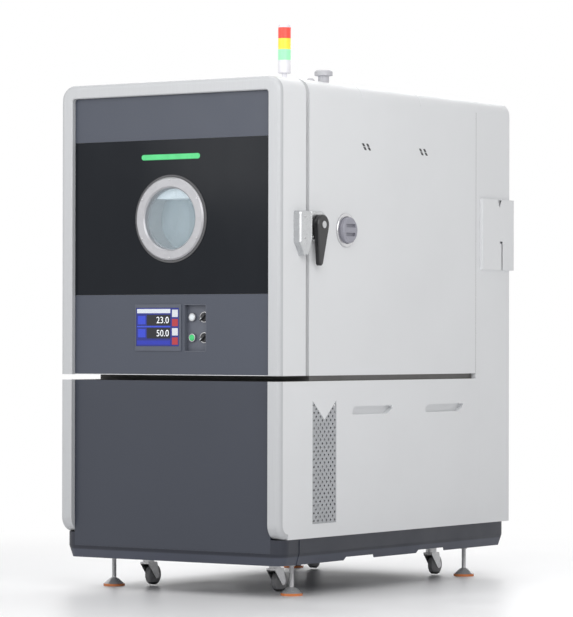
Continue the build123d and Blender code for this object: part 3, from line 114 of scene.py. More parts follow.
class Paint:
    """A Principled shader and the nodes that vary it over the surface."""

    def __init__(self, name, colour, roughness, metallic=0.0, **inputs):
        self.material = bpy.data.materials.new(name)
        self.material.use_nodes = True
        self.tree = self.material.node_tree
        self.shader = self.tree.nodes["Principled BSDF"]
        self.colour = tuple(colour) + (1.0,)
        self.shader.inputs["Base Color"].default_value = self.colour
        self.shader.inputs["Roughness"].default_value = roughness
        self.shader.inputs["Metallic"].default_value = metallic
        for key, value in inputs.items():
            self.shader.inputs[key.replace("_", " ")].default_value = value
        self.bumped = None

    def node(self, kind, **settings):
        made = self.tree.nodes.new(kind)
        for key, value in settings.items():
            setattr(made, key, value)
        return made

    def link(self, source, target):
        self.tree.links.new(source, target)

    def place(self, scale=(1, 1, 1)):
        """Object coordinates in metres, with the pattern's size along each axis."""
        coords = self.node("ShaderNodeTexCoord")
        mapping = self.node("ShaderNodeMapping", vector_type="TEXTURE")
        mapping.inputs["Scale"].default_value = [1 / value for value in scale]
        self.link(coords.outputs["Object"], mapping.inputs["Vector"])
        return mapping.outputs["Vector"]

    def noise(self, scale, detail=3.0, stretch=(1, 1, 1), roughness=0.5):
        """Cloudy pattern, finer with a higher scale and drawn out where the stretch is small."""
        texture = self.node("ShaderNodeTexNoise")
        texture.inputs["Scale"].default_value = scale
        texture.inputs["Detail"].default_value = detail
        texture.inputs["Roughness"].default_value = roughness
        self.link(self.place(stretch), texture.inputs["Vector"])
        return texture.outputs["Fac"]

    def axis(self, name, low, high, smooth=True):
        """A ramp from 0 to 1 along one axis, between two places in metres."""
        coords = self.node("ShaderNodeTexCoord")
        split = self.node("ShaderNodeSeparateXYZ")
        self.link(coords.outputs["Object"], split.inputs["Vector"])
        return self.span(split.outputs[name], low, high, 0.0, 1.0, smooth)

    def span(self, value, low, high, to_low, to_high, smooth=False):
        """Carries a value from one range to another."""
        ramp = self.node("ShaderNodeMapRange", interpolation_type="SMOOTHSTEP" if smooth else "LINEAR")
        ramp.inputs["From Min"].default_value = low
        ramp.inputs["From Max"].default_value = high
        ramp.inputs["To Min"].default_value = to_low
        ramp.inputs["To Max"].default_value = to_high
        self.link(value, ramp.inputs["Value"])
        return ramp.outputs["Result"]

    def product(self, first, second):
        node = self.node("ShaderNodeMath", operation="MULTIPLY")
        self.link(first, node.inputs[0])
        self.link(second, node.inputs[1])
        return node.outputs["Value"]

    def tint(self, factor, colour, base=None):
        """Mixes another colour into the base colour by a factor that varies."""
        mix = self.node("ShaderNodeMix", data_type="RGBA")
        if base is None:
            mix.inputs["A"].default_value = self.colour
        else:
            self.link(base, mix.inputs["A"])
        mix.inputs["B"].default_value = tuple(colour) + (1.0,)
        self.link(factor, mix.inputs["Factor"])
        self.link(mix.outputs["Result"], self.shader.inputs["Base Color"])
        return mix.outputs["Result"]

    def rough(self, texture, low, high):
        """Lets a texture vary the roughness between two values."""
        self.link(self.span(texture, 0.25, 0.75, low, high), self.shader.inputs["Roughness"])

    def bump(self, texture, strength, distance):
        """Adds fine relief on top of any that is there already."""
        node = self.node("ShaderNodeBump")
        node.inputs["Strength"].default_value = strength
        node.inputs["Distance"].default_value = distance
        self.link(texture, node.inputs["Height"])
        if self.bumped is not None:
            self.link(self.bumped, node.inputs["Normal"])
        self.bumped = node.outputs["Normal"]
        self.link(self.bumped, self.shader.inputs["Normal"])


def scaled(colour, factor):
    return tuple(min(1.0, channel * factor) for channel in colour)


def powder_coat(name, colour, roughness, peel=0.06, dirt=0.0):
    """Baked powder coat: fine orange peel, faint cloudiness and, where asked, specks of dirt."""
    paint = Paint(name, colour, roughness)
    cloud = paint.noise(2.4, 4.0)
    mixed = paint.tint(paint.span(cloud, 0.35, 0.7, 0.0, 0.5), scaled(colour, 0.94))
    if dirt:
        speckle = paint.span(paint.noise(30.0, 6.0), 0.45, 0.8, 0.0, dirt)
        paint.tint(speckle, scaled(colour, 0.72), mixed)
    paint.rough(paint.noise(9.0, 5.0), roughness - 0.05, roughness + 0.07)
    paint.bump(paint.noise(1100.0, 2.0), peel, 0.0004)
    paint.bump(paint.noise(260.0, 2.0), peel * 0.6, 0.0006)
    return paint.material


def base_coat(name):
    """Base tray: dark coat above, and below the fold a paler face, a painted highlight where light from the
    floor reaches it.
    """
    dark = (0.016, 0.019, 0.031)
    painted_highlight = (0.062, 0.070, 0.098)
    paint = Paint(name, dark, 0.42)
    fold = BASE_TOP - 62 * MM
    soft = 4 * MM
    # Painted highlight: below the fold the colour turns paler, for the floor's light on the lower face.
    mixed = paint.tint(paint.axis("Z", fold + soft, fold - soft), painted_highlight)
    cloud = paint.span(paint.noise(2.4, 4.0), 0.35, 0.7, 0.0, 0.3)
    paint.tint(cloud, dark, mixed)
    paint.rough(paint.noise(9.0, 5.0), 0.36, 0.5)
    paint.bump(paint.noise(1100.0, 2.0), 0.05, 0.0004)
    return paint.material


def anodised(name, colour, roughness, metallic):
    """Satin aluminium: fine lines along one direction under a soft sheen."""
    paint = Paint(name, colour, roughness, metallic)
    lines = paint.noise(420.0, 3.0, stretch=(1, 1, 1 / 60))
    paint.tint(paint.span(lines, 0.3, 0.7, 0.0, 0.35), scaled(colour, 0.86))
    paint.rough(lines, roughness - 0.05, roughness + 0.07)
    paint.bump(lines, 0.05, 0.0003)
    paint.bump(paint.noise(700.0, 2.0), 0.04, 0.0003)
    return paint.material


def brushed(name, colour, roughness, stretch):
    """Brushed stainless: long fine scratches with broad smoky patches."""
    paint = Paint(name, colour, roughness, 1.0)
    lines = paint.noise(900.0, 4.0, stretch=stretch, roughness=0.65)
    cloud = paint.noise(3.0, 4.0)
    mixed = paint.tint(paint.span(lines, 0.3, 0.7, 0.0, 0.45), scaled(colour, 0.78))
    paint.tint(paint.span(cloud, 0.4, 0.75, 0.0, 0.3), scaled(colour, 0.88), mixed)
    paint.rough(lines, roughness - 0.08, roughness + 0.12)
    paint.bump(lines, 0.12, 0.0003)
    return paint.material


def cast_metal(name, colour, roughness, metallic=1.0):
    """Satin-plated casting: slight pitting and worn edges of tone."""
    paint = Paint(name, colour, roughness, metallic)
    cloud = paint.noise(60.0, 5.0)
    paint.tint(paint.span(cloud, 0.35, 0.75, 0.0, 0.45), scaled(colour, 0.8))
    paint.rough(paint.noise(140.0, 4.0), roughness - 0.06, roughness + 0.1)
    paint.bump(paint.noise(1500.0, 3.0), 0.08, 0.0003)
    return paint.material


def moulded(name, colour, roughness, grain=900.0):
    """Moulded plastic or rubber with a fine spark-eroded grain."""
    paint = Paint(name, colour, roughness)
    paint.tint(paint.span(paint.noise(18.0, 4.0), 0.35, 0.75, 0.0, 0.35), scaled(colour, 1.25))
    paint.rough(paint.noise(60.0, 4.0), roughness - 0.06, roughness + 0.08)
    cells = paint.node("ShaderNodeTexVoronoi", feature="SMOOTH_F1")
    cells.inputs["Scale"].default_value = grain
    paint.link(paint.place(), cells.inputs["Vector"])
    paint.bump(cells.outputs["Distance"], 0.12, 0.0003)
    return paint.material


def dark_glass(name, colour):
    """Back-printed glass: deep and smooth, with faint wiping marks."""
    paint = Paint(name, colour, 0.12, Specular_IOR_Level=0.14)
    smear = paint.noise(5.0, 6.0, stretch=(1, 1, 0.35), roughness=0.6)
    paint.tint(paint.span(smear, 0.45, 0.8, 0.0, 0.4), scaled(colour, 1.25))
    paint.rough(smear, 0.08, 0.2)
    paint.bump(paint.noise(14.0, 2.0), 0.01, 0.001)
    return paint.material


def clear_glass(name, colour, alpha):
    """Window panes: the outer one nearly clear, the inner ones misted, with faint streaks."""
    paint = Paint(name, colour, 0.03, Alpha=alpha)
    streak = paint.noise(26.0, 5.0, stretch=(1, 1, 0.3))
    paint.rough(streak, 0.02, 0.07)
    marks = paint.span(streak, 0.4, 0.85, alpha, alpha + 0.05)
    outer_space = WINDOW.y + 100 * MM
    inner = paint.axis("Y", outer_space, outer_space + 10 * MM, smooth=False)
    thicker = paint.span(inner, 0.0, 1.0, 1.0, INNER_PANE_TINT)
    paint.link(paint.product(marks, thicker), paint.shader.inputs["Alpha"])
    return paint.material


def lit(name, colour, strength, cells=0.0):
    """Translucent plastic that glows unevenly, with ribs where a number of cells is given."""
    paint = Paint(name, colour, 0.3, Emission_Strength=strength)
    glow = paint.node("ShaderNodeMix", data_type="RGBA")
    glow.inputs["A"].default_value = tuple(colour) + (1.0,)
    glow.inputs["B"].default_value = scaled(colour, 0.8) + (1.0,)
    if cells:
        wave = paint.node("ShaderNodeTexWave", wave_type="BANDS", bands_direction="Z")
        wave.inputs["Scale"].default_value = cells
        paint.link(paint.place(), wave.inputs["Vector"])
        factor = paint.span(wave.outputs["Fac"], 0.0, 1.0, 0.0, 0.6)
        paint.bump(wave.outputs["Fac"], 0.25, 0.0006)
    else:
        factor = paint.span(paint.noise(40.0, 3.0), 0.35, 0.7, 0.0, 0.6)
    paint.link(factor, glow.inputs["Factor"])
    paint.link(glow.outputs["Result"], paint.shader.inputs["Emission Color"])
    paint.link(glow.outputs["Result"], paint.shader.inputs["Base Color"])
    paint.rough(paint.noise(200.0, 3.0), 0.25, 0.4)
    return paint.material


def pixels(name, colour, strength):
    """A patch of the display: even colour with a fine pixel grid."""
    paint = Paint(name, colour, 0.25, Emission_Strength=strength)
    grid = paint.node("ShaderNodeTexBrick")
    grid.inputs["Scale"].default_value = 900.0
    grid.inputs["Mortar Size"].default_value = 0.03
    grid.inputs["Color1"].default_value = tuple(colour) + (1.0,)
    grid.inputs["Color2"].default_value = scaled(colour, 0.93) + (1.0,)
    grid.inputs["Mortar"].default_value = scaled(colour, 0.75) + (1.0,)
    coords = paint.node("ShaderNodeTexCoord")
    split = paint.node("ShaderNodeSeparateXYZ")
    join = paint.node("ShaderNodeCombineXYZ")
    paint.link(coords.outputs["Object"], split.inputs["Vector"])
    paint.link(split.outputs["X"], join.inputs["X"])
    paint.link(split.outputs["Z"], join.inputs["Y"])
    paint.link(join.outputs["Vector"], grid.inputs["Vector"])
    paint.link(grid.outputs["Color"], paint.shader.inputs["Base Color"])
    paint.link(grid.outputs["Color"], paint.shader.inputs["Emission Color"])
    return paint.material


def foam(name):
    """Foam block whose right side, lying against the casing, is darkened to near black as painted shade."""
    paint = Paint(name, (0.74, 0.66, 0.44), 0.9)
    # Painted shade: the right side is darkened to near black.
    side = paint.axis("X", SIDE_FACE - 6 * MM, SIDE_FACE - 4 * MM, smooth=False)
    mixed = paint.tint(side, (0.03, 0.03, 0.032))
    speckle = paint.span(paint.noise(220.0, 4.0), 0.4, 0.7, 0.0, 0.25)
    paint.tint(speckle, (0.05, 0.045, 0.04), mixed)
    paint.bump(paint.noise(400.0, 3.0), 0.3, 0.001)
    return paint.material


def foot_metal(name):
    """Plated foot and threaded stem with a rubber ring below."""
    ring_top, ring_soft = 9 * MM, 0.5 * MM
    thread_low, thread_soft = 35 * MM, 1 * MM
    paint = Paint(name, (0.62, 0.62, 0.63), 0.22, 1.0)
    ring = paint.axis("Z", ring_top + ring_soft, ring_top - ring_soft, smooth=False)
    paint.tint(ring, (0.78, 0.25, 0.08))
    plating = paint.span(ring, 0.0, 1.0, 0.4, 0.0)
    paint.link(plating, paint.shader.inputs["Metallic"])
    paint.rough(paint.noise(120.0, 4.0), 0.16, 0.3)
    thread = paint.node("ShaderNodeTexWave", wave_type="BANDS", bands_direction="Z", wave_profile="TRI")
    thread.inputs["Scale"].default_value = 160.0
    paint.link(paint.place(), thread.inputs["Vector"])
    above = paint.axis("Z", thread_low - thread_soft, thread_low + thread_soft, smooth=False)
    paint.bump(paint.product(thread.outputs["Fac"], above), 0.6, 0.0008)
    return paint.material


def wheel_material(name):
    """Grey hub and dark tread, told apart by the height above or below the axle."""
    tyre = (0.03, 0.03, 0.032)
    hub_radius, soft = 26 * MM, 3 * MM
    paint = Paint(name, (0.30, 0.30, 0.31), 0.45)
    axle_z = front_middle("wheel_front_left").z
    mixed = None
    for side in (1, -1):
        edge = axle_z + side * hub_radius
        factor = paint.axis("Z", edge, edge + side * soft, smooth=False)
        mixed = paint.tint(factor, tyre, mixed)
    paint.rough(paint.noise(90.0, 4.0), 0.4, 0.6)
    paint.bump(paint.noise(500.0, 3.0), 0.15, 0.0004)
    return paint.material


def make_materials():
    silver = (0.53, 0.54, 0.555)
    steel = (0.60, 0.60, 0.60)
    return {
        "silver_trim": anodised("silver_trim", silver, 0.42, 0.12),
        "white_paint": powder_coat("white_paint", (0.76, 0.77, 0.785), 0.42),
        "dark_panel": powder_coat("dark_panel", (0.056, 0.065, 0.090), 0.38, peel=0.04),
        "front_panel_dark": powder_coat("front_panel_dark", (0.034, 0.040, 0.058), 0.38, peel=0.04),
        "base_dark": base_coat("base_dark"),
        "frame_grey": powder_coat("frame_grey", (0.16, 0.155, 0.15), 0.5, dirt=0.3),
        "black_glass": dark_glass("black_glass", (0.010, 0.012, 0.016)),
        "window_glass": clear_glass("window_glass", (0.62, 0.74, 0.80), 0.16),
        "stainless": brushed("stainless", steel, 0.3, (0.02, 1, 1)),
        "coil_metal": brushed("coil_metal", (0.66, 0.66, 0.66), 0.35, (1, 0.05, 1)),
        "machine_black": powder_coat("machine_black", (0.02, 0.02, 0.022), 0.35, dirt=0.3),
        "machine_grey": powder_coat("machine_grey", (0.30, 0.32, 0.34), 0.45, dirt=0.3),
        "foam": foam("foam"),
        "seal_rubber": moulded("seal_rubber", (0.09, 0.09, 0.095), 0.6),
        "latch_metal": cast_metal("latch_metal", (0.58, 0.59, 0.60), 0.3),
        "hinge_metal": cast_metal("hinge_metal", (0.55, 0.55, 0.56), 0.32),
        "led_green": lit("led_green", (0.085, 0.60, 0.21), 0.16),
        "hmi_plastic": moulded("hmi_plastic", (0.080, 0.090, 0.118), 0.35),
        "screen": pixels("screen", (0.008, 0.014, 0.15), 0.7),
        "pocket_plastic": moulded("pocket_plastic", (0.11, 0.12, 0.15), 0.5),
        "button_white": lit("button_white", (0.70, 0.74, 0.78), 0.15),
        "button_green": lit("button_green", (0.05, 0.50, 0.16), 0.3),
        "knob_black": moulded("knob_black", (0.025, 0.025, 0.028), 0.4),
        "port_steel": brushed("port_steel", (0.66, 0.66, 0.67), 0.26, (1, 1, 0.05)),
        "plug_rubber": moulded("plug_rubber", (0.30, 0.30, 0.345), 0.5, grain=500.0),
        "tower_plastic": moulded("tower_plastic", (0.80, 0.79, 0.84), 0.3),
        "lens_green": lit("lens_green", (0.30, 0.87, 0.42), 0.45, cells=130.0),
        "lens_yellow": lit("lens_yellow", (1.0, 0.63, 0.05), 0.45, cells=130.0),
        "lens_red": lit("lens_red", (0.95, 0.07, 0.05), 0.45, cells=130.0),
        "vent_plastic": moulded("vent_plastic", (0.50, 0.50, 0.53), 0.5),
        "foot_metal": foot_metal("foot_metal"),
        "fork_zinc": cast_metal("fork_zinc", (0.50, 0.50, 0.51), 0.3),
        "wheel_plastic": wheel_material("wheel_plastic"),
        "fan_metal": brushed("fan_metal", (0.60, 0.60, 0.61), 0.35, (1, 0.2, 1)),
        "window_metal": cast_metal("window_metal", (0.44, 0.44, 0.46), 0.34, 0.35),
        "grille_steel": powder_coat("grille_steel", (0.40, 0.41, 0.43), 0.42),
        "lever_black": powder_coat("lever_black", (0.022, 0.022, 0.024), 0.3, dirt=0.2),
    }


MATERIALS = make_materials()


# Nodes whose finish differs from the rest of their slot
OWN_FINISH = {
    "window_frame": "window_metal",
    "handle_lever": "lever_black",
    "side_grilles": "grille_steel",
}


def dress_nodes():
    """Each CAD node takes the material of its slot in the record, or a finish of its own."""
    for entry in frame["record"]["subparts"]:
        node = frame["nodes"][entry["node"]]
        node.data.materials.clear()
        finish = OWN_FINISH.get(entry["node"], entry["material_slot"])
        node.data.materials.append(MATERIALS[finish])


dress_nodes()


# Pieces

def finish_piece(name, mesh, body, slot, material=None, smooth=True):
    """Turns a bmesh into a piece that rides on a body and takes a slot's finish."""
    data = bpy.data.meshes.new(name)
    mesh.normal_update()
    mesh.to_mesh(data)
    mesh.free()
    for polygon in data.polygons:
        polygon.use_smooth = smooth
    piece = bpy.data.objects.new(name, data)
    bpy.context.scene.collection.objects.link(piece)
    data.materials.append(material or MATERIALS[slot])
    if smooth:
        data.set_sharp_from_angle(angle=SHARP_ANGLE)
    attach(piece, body)
    return piece


def towards(axis):
    """A rotation that carries +Z on to an axis."""
    return Vector((0, 0, 1)).rotation_difference(Vector(axis)).to_matrix().to_4x4()


def turn(mesh, profile, place, segments=48):
    """Adds a closed ring of (radius, height) points turned about +Z, then moved by a matrix."""
    rings = []
    for index in range(segments):
        angle = 2 * math.pi * index / segments
        ring = [
            mesh.verts.new(place @ Vector((r * math.cos(angle), r * math.sin(angle), h))) for r, h in profile
        ]
        rings.append(ring)
    count = len(profile)
    for index in range(segments):
        ring, following = rings[index], rings[(index + 1) % segments]
        for point in range(count):
            after = (point + 1) % count
            mesh.faces.new((ring[point], following[point], following[after], ring[after]))


def turned_piece(name, profile, centre, axis, body, slot, segments=48):
    mesh = bmesh.new()
    turn(mesh, profile, Matrix.Translation(centre) @ towards(axis), segments)
    return finish_piece(name, mesh, body, slot)


def rounded(inner, outer, height, edge, steps=4):
    """A ring's section between two radii, with its outer face's edges rounded."""
    points = [(inner, 0.0), (outer, 0.0)]
    for step in range(steps + 1):
        angle = math.pi / 2 * step / steps
        points.append((outer - edge + edge * math.cos(angle), height - edge + edge * math.sin(angle)))
    for step in range(steps + 1):
        angle = math.pi / 2 * (1 + step / steps)
        points.append((inner + edge + edge * math.cos(angle), height - edge + edge * math.sin(angle)))
    return points


def screw(mesh, centre, axis, radius, height):
    """A domed head with a hexagonal socket."""
    place = Matrix.Translation(centre) @ towards(axis)
    steps = 16
    socket = radius * 0.45
    rim = [(radius, 0.0), (radius, height * 0.35), (radius * 0.86, height * 0.8), (socket * 1.12, height)]
    rings = []
    for r, h in rim:
        rings.append(
            [
                mesh.verts.new(place @ Vector((r * math.cos(a), r * math.sin(a), h)))
                for a in (2 * math.pi * i / steps for i in range(steps))
            ]
        )
    for low, high in zip(rings, rings[1:]):
        for i in range(steps):
            j = (i + 1) % steps
            mesh.faces.new((low[i], low[j], high[j], high[i]))
    inner = []
    floor = []
    for i in range(steps):
        a = 2 * math.pi * i / steps
        sector = (a + math.pi / 6) % (math.pi / 3) - math.pi / 6
        r = socket * math.cos(math.pi / 6) / math.cos(sector)
        inner.append(mesh.verts.new(place @ Vector((r * math.cos(a), r * math.sin(a), height))))
        floor.append(mesh.verts.new(place @ Vector((r * math.cos(a), r * math.sin(a), height * 0.35))))
    for i in range(steps):
        j = (i + 1) % steps
        mesh.faces.new((rings[-1][i], rings[-1][j], inner[j], inner[i]))
        mesh.faces.new((inner[i], inner[j], floor[j], floor[i]))
    mesh.faces.new(floor)
    mesh.faces.new(list(reversed(rings[0])))


def screws(name, centres, axis, radius, height, body, slot):
    mesh = bmesh.new()
    for centre in centres:
        screw(mesh, Vector(centre), axis, radius, height)
    return finish_piece(name, mesh, body, slot)


def plate(mesh, low, high, bevel=0.0):
    """A box between two corners, with its edges bevelled."""
    made = bmesh.ops.create_cube(mesh, size=1.0)["verts"]
    low, high = Vector(low), Vector(high)
    size = high - low
    for vert in made:
        shares = [place + 0.5 for place in vert.co]
        vert.co = [start + share * length for start, share, length in zip(low, shares, size)]
    if bevel:
        edges = {edge for vert in made for edge in vert.link_edges}
        bmesh.ops.bevel(mesh, geom=list(edges), offset=bevel, segments=2, affect="EDGES", profile=0.6)


def prism(mesh, near, far):
    """Joins two outlines with as many points into a closed solid."""
    near = [mesh.verts.new(point) for point in near]
    far = [mesh.verts.new(point) for point in far]
    mesh.faces.new(near)
    mesh.faces.new(list(reversed(far)))
    for index in range(len(near)):
        after = (index + 1) % len(near)
        mesh.faces.new((near[index], far[index], far[after], near[after]))


# Door window: black seal round the ring, its six screws and a painted reflection in the barrel

def dress_window():
    gap, reach, rise, edge = 0.4 * MM, 9 * MM, 4.5 * MM, 2 * MM
    turned_piece(
        "window_outer_seal",
        rounded(RING_RADIUS + gap, RING_RADIUS + reach, rise, edge),
        Vector((WINDOW.x, GLASS_FACE, WINDOW.z)),
        TO_FRONT,
        "door",
        "seal_rubber",
        96,
    )
    circle = RING_RADIUS - 9 * MM
    count = 6
    centres = []
    for index in range(count):
        angle = math.pi / 2 + index * 2 * math.pi / count
        centres.append((WINDOW.x + circle * math.cos(angle), WINDOW.y, WINDOW.z + circle * math.sin(angle)))
    screws("window_screws", centres, TO_FRONT, 4.2 * MM, 2.2 * MM, "door", "hinge_metal")


def barrel_painted_reflection():
    """Painted reflection: a glowing piece across the top of the window's barrel, behind the outer pane."""
    radius = half_width("window_panes") - 2.5 * MM
    chord = 74 * MM
    near, far = WINDOW.y + 34 * MM, WINDOW.y + 100 * MM
    start = math.asin(chord / radius)
    steps = 24
    outline = []
    for index in range(steps + 1):
        angle = start + (math.pi - 2 * start) * index / steps
        outline.append((WINDOW.x + radius * math.cos(angle), WINDOW.z + radius * math.sin(angle)))
    mesh = bmesh.new()
    prism(mesh, [(x, near, z) for x, z in outline], [(x, far, z) for x, z in outline])
    # Painted reflection: the glow stands in for the white reflection in the barrel's upper part.
    glow = lit("barrel_painted_reflection", (0.62, 0.70, 0.75), 0.30)
    finish_piece("barrel_painted_reflection_lens", mesh, "door", "button_white", glow)


# Operator panel: what the display shows, bezels of the push buttons, pointers of the knobs

def dress_display():
    """Patches by their shares of the screen's width and height, then two readings of numbers."""
    low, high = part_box("hmi_screen")
    face = low.y - 0.15 * MM
    width, height = high.x - low.x, high.z - low.z
    black = (0.006, 0.007, 0.012)
    blue = (0.02, 0.04, 0.40)
    white = (0.60, 0.62, 0.66)
    red = (0.38, 0.03, 0.04)
    patches = {
        "display_bar": ((0.02, 0.86, 0.80, 0.97), (0.60, 0.64, 0.70), 0.3),
        "display_reading_upper": ((0.25, 0.54, 0.80, 0.82), black, 0.3),
        "display_reading_lower": ((0.25, 0.20, 0.80, 0.48), black, 0.3),
        "display_rule": ((0.02, 0.495, 0.80, 0.525), (0.03, 0.06, 0.45), 0.7),
        "display_footer": ((0.02, 0.04, 0.80, 0.15), (0.01, 0.02, 0.28), 0.7),
        "display_tab_upper": ((0.04, 0.57, 0.22, 0.79), blue, 0.7),
        "display_tab_lower": ((0.04, 0.23, 0.22, 0.45), blue, 0.7),
    }
    key_top, key_pitch, key_height = 0.95, 0.24, 0.19
    for index, colour in enumerate((white, red, white, red)):
        top = key_top - index * key_pitch
        patches[f"display_key_{index}"] = ((0.84, top - key_height, 0.975, top), colour, 0.3)
    for name, ((x0, z0, x1, z1), colour, strength) in patches.items():
        mesh = bmesh.new()
        plate(
            mesh,
            (low.x + x0 * width, face - 0.2 * MM, low.z + z0 * height),
            (low.x + x1 * width, face + 0.1 * MM, low.z + z1 * height),
            0.08 * MM,
        )
        finish_piece(name, mesh, "door", "screen", pixels(name, colour, strength), smooth=False)
    glow = lit("display_digits", (0.80, 0.83, 0.86), 0.4)
    right, digit_height = 0.77, 0.24
    for name, digits, z in (("display_digits_upper", "23.0", 0.60), ("display_digits_lower", "50.0", 0.26)):
        curve = bpy.data.curves.new(name, "FONT")
        curve.body = digits
        curve.size = digit_height * height
        curve.extrude = 0.1 * MM
        curve.align_x = "RIGHT"
        piece = bpy.data.objects.new(name, curve)
        bpy.context.scene.collection.objects.link(piece)
        piece.location = (low.x + right * width, face - 0.3 * MM, low.z + z * height)
        piece.rotation_euler = (math.pi / 2, 0, 0)
        curve.materials.append(glow)
        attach(piece, "door")


def control_ring(name, inner, outer, centre):
    """Plated ring round a button or a knob, on the floor of the pocket."""
    turned_piece(name, rounded(inner, outer, 2.0 * MM, 0.9 * MM), centre, TO_FRONT, "door", "hinge_metal")


def dress_controls():
    for name in ("button_white", "button_green"):
        radius = half_width(name)
        centre = front_middle(name, 4.2 * MM)
        control_ring(f"{name}_bezel", radius + 0.5 * MM, radius + 3.4 * MM, centre)
    for name in ("knob_upper", "knob_lower"):
        mesh = bmesh.new()
        plate(mesh, (-12 * MM, -0.3 * MM, -1.1 * MM), (-2 * MM, 0.2 * MM, 1.1 * MM), 0.1 * MM)
        rest = Matrix.Translation(front_middle(name)) @ Matrix.Rotation(math.radians(-45), 4, "Y")
        bmesh.ops.transform(mesh, matrix=rest, verts=mesh.verts[:])
        finish_piece(f"{name}_pointer", mesh, name, "button_white", smooth=False)
        control_ring(f"{name}_ring", 16.2 * MM, 19.5 * MM, front_middle(name, 17.6 * MM))


# Fasteners that hold the outside pieces

def rear_panel_screws():
    """Round the edge of the panel: four down each side, one at the middle of top and bottom."""
    low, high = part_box("rear_panel")
    inset = 24 * MM
    tall = high.z - low.z - 2 * inset
    centres = []
    for x in (low.x + inset, 0.0, high.x - inset):
        for share in (0.0, 0.33, 0.67, 1.0):
            if x or share in (0.0, 1.0):
                centres.append((x, REAR_FACE, low.z + inset + share * tall))
    screws("rear_panel_screws", centres, TO_BACK, 5.0 * MM, 2.6 * MM, "cabinet", "hinge_metal")


def test_port_screws():
    low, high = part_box("test_port_flange")
    middle = (low + high) / 2
    circle = (high.y - low.y) / 2 - 5.5 * MM
    face = high.x - 0.3 * MM
    centres = []
    for index in range(4):
        angle = math.pi / 4 + index * math.pi / 2
        centres.append((face, middle.y + circle * math.cos(angle), middle.z + circle * math.sin(angle)))
    screws("test_port_screws", centres, TO_RIGHT, 3.0 * MM, 1.6 * MM, "cabinet", "hinge_metal")


def latch_base_screws():
    low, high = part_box("handle_base")
    face = SIDE_FACE + 14 * MM
    centres = []
    for y, inset in ((low.y + 12 * MM, 13 * MM), (high.y - 22 * MM, 20 * MM)):
        for z in (high.z - inset, low.z + inset):
            centres.append((face, y, z))
    screws("latch_base_screws", centres, TO_RIGHT, 3.6 * MM, 1.8 * MM, "cabinet", "hinge_metal")


def keeper_screws():
    low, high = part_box("door_keeper")
    middle = (low.y + high.y) / 2 - 8 * MM
    centres = [(high.x, middle, z) for z in (high.z - 20 * MM, low.z + 62 * MM)]
    screws("keeper_screws", centres, TO_RIGHT, 4.0 * MM, 2.0 * MM, "door", "hinge_metal")


dress_window()
barrel_painted_reflection()
dress_display()
dress_controls()
rear_panel_screws()
test_port_screws()
latch_base_screws()
keeper_screws()


# Small vents high on both sides drawn as painted shade, and the seams beside the rear column

def painted_vent_shade():
    """Painted shade: two groups of four slanted slits on each side, black prisms set through the casing
    face.
    """
    depths = (559 * MM, 953 * MM)
    level = 1624 * MM
    half_length, half_height, slant = 12 * MM, 5.5 * MM, 10 * MM
    pitch_y, pitch_z = 29 * MM, 13 * MM
    proud = 0.3 * MM
    outline = (
        (-half_length, half_height),
        (half_length - slant, half_height),
        (half_length, -half_height),
        (slant - half_length, -half_height),
    )
    places = [(depth, column, row) for depth in depths for column in (-0.5, 0.5) for row in (-0.5, 0.5)]
    mesh = bmesh.new()
    for depth, column, row in places:
        y = FRONT_FACE + depth + column * pitch_y - row * slant
        z = level + row * pitch_z
        for side in (-1, 1):
            near = [(side * (SIDE_FACE - proud), y + a, z + b) for a, b in outline]
            far = [(side * (SIDE_FACE + proud), y + a, z + b) for a, b in outline]
            prism(mesh, near, far)
    bmesh.ops.recalc_face_normals(mesh, faces=mesh.faces[:])
    # Painted shade: black prisms where the casing has no slits.
    finish_piece("painted_vent_shade", mesh, "cabinet", "machine_black", smooth=False)


def column_seams():
    """The narrow dark joint between the casing and the rear column, on both sides."""
    low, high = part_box("rear_column")
    casing_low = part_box("upper_casing")[0].z
    roof_radius = 55 * MM
    wide, proud = 1.3 * MM, 0.2 * MM
    top = high.z - roof_radius
    mesh = bmesh.new()
    for side in (-1, 1):
        inner, outer = sorted((side * (SIDE_FACE - proud), side * (SIDE_FACE + proud)))
        plate(mesh, (inner, low.y - wide / 2, casing_low), (outer, low.y + wide / 2, top), 0.05 * MM)
    finish_piece("column_seams", mesh, "cabinet", "frame_grey", smooth=False)


painted_vent_shade()
column_seams()


# Lamp in the ceiling of the test space

def chamber_lamp():
    """Round lamp with a plated rim and a slightly domed lens."""
    low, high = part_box("inner_liner")
    centre = Vector((0.0, low.y + 220 * MM, high.z - 1.9 * MM))
    lens, rim = 60 * MM, 72 * MM
    turned_piece(
        "chamber_lamp_rim", rounded(lens + 2 * MM, rim, 7 * MM, 3 * MM), centre, DOWN, "cabinet", "stainless"
    )
    hub, base = 0.5 * MM, 0.5 * MM
    profile = [(hub, base), (lens, base), (lens, 3 * MM), (lens / 2, 4.5 * MM), (hub, 5 * MM)]
    mesh = bmesh.new()
    turn(mesh, profile, Matrix.Translation(centre) @ towards(DOWN))
    glow = lit("chamber_lamp", (0.93, 0.97, 1.0), 26.0)
    finish_piece("chamber_lamp_lens", mesh, "cabinet", "button_white", glow)


chamber_lamp()


# Stage, light and camera

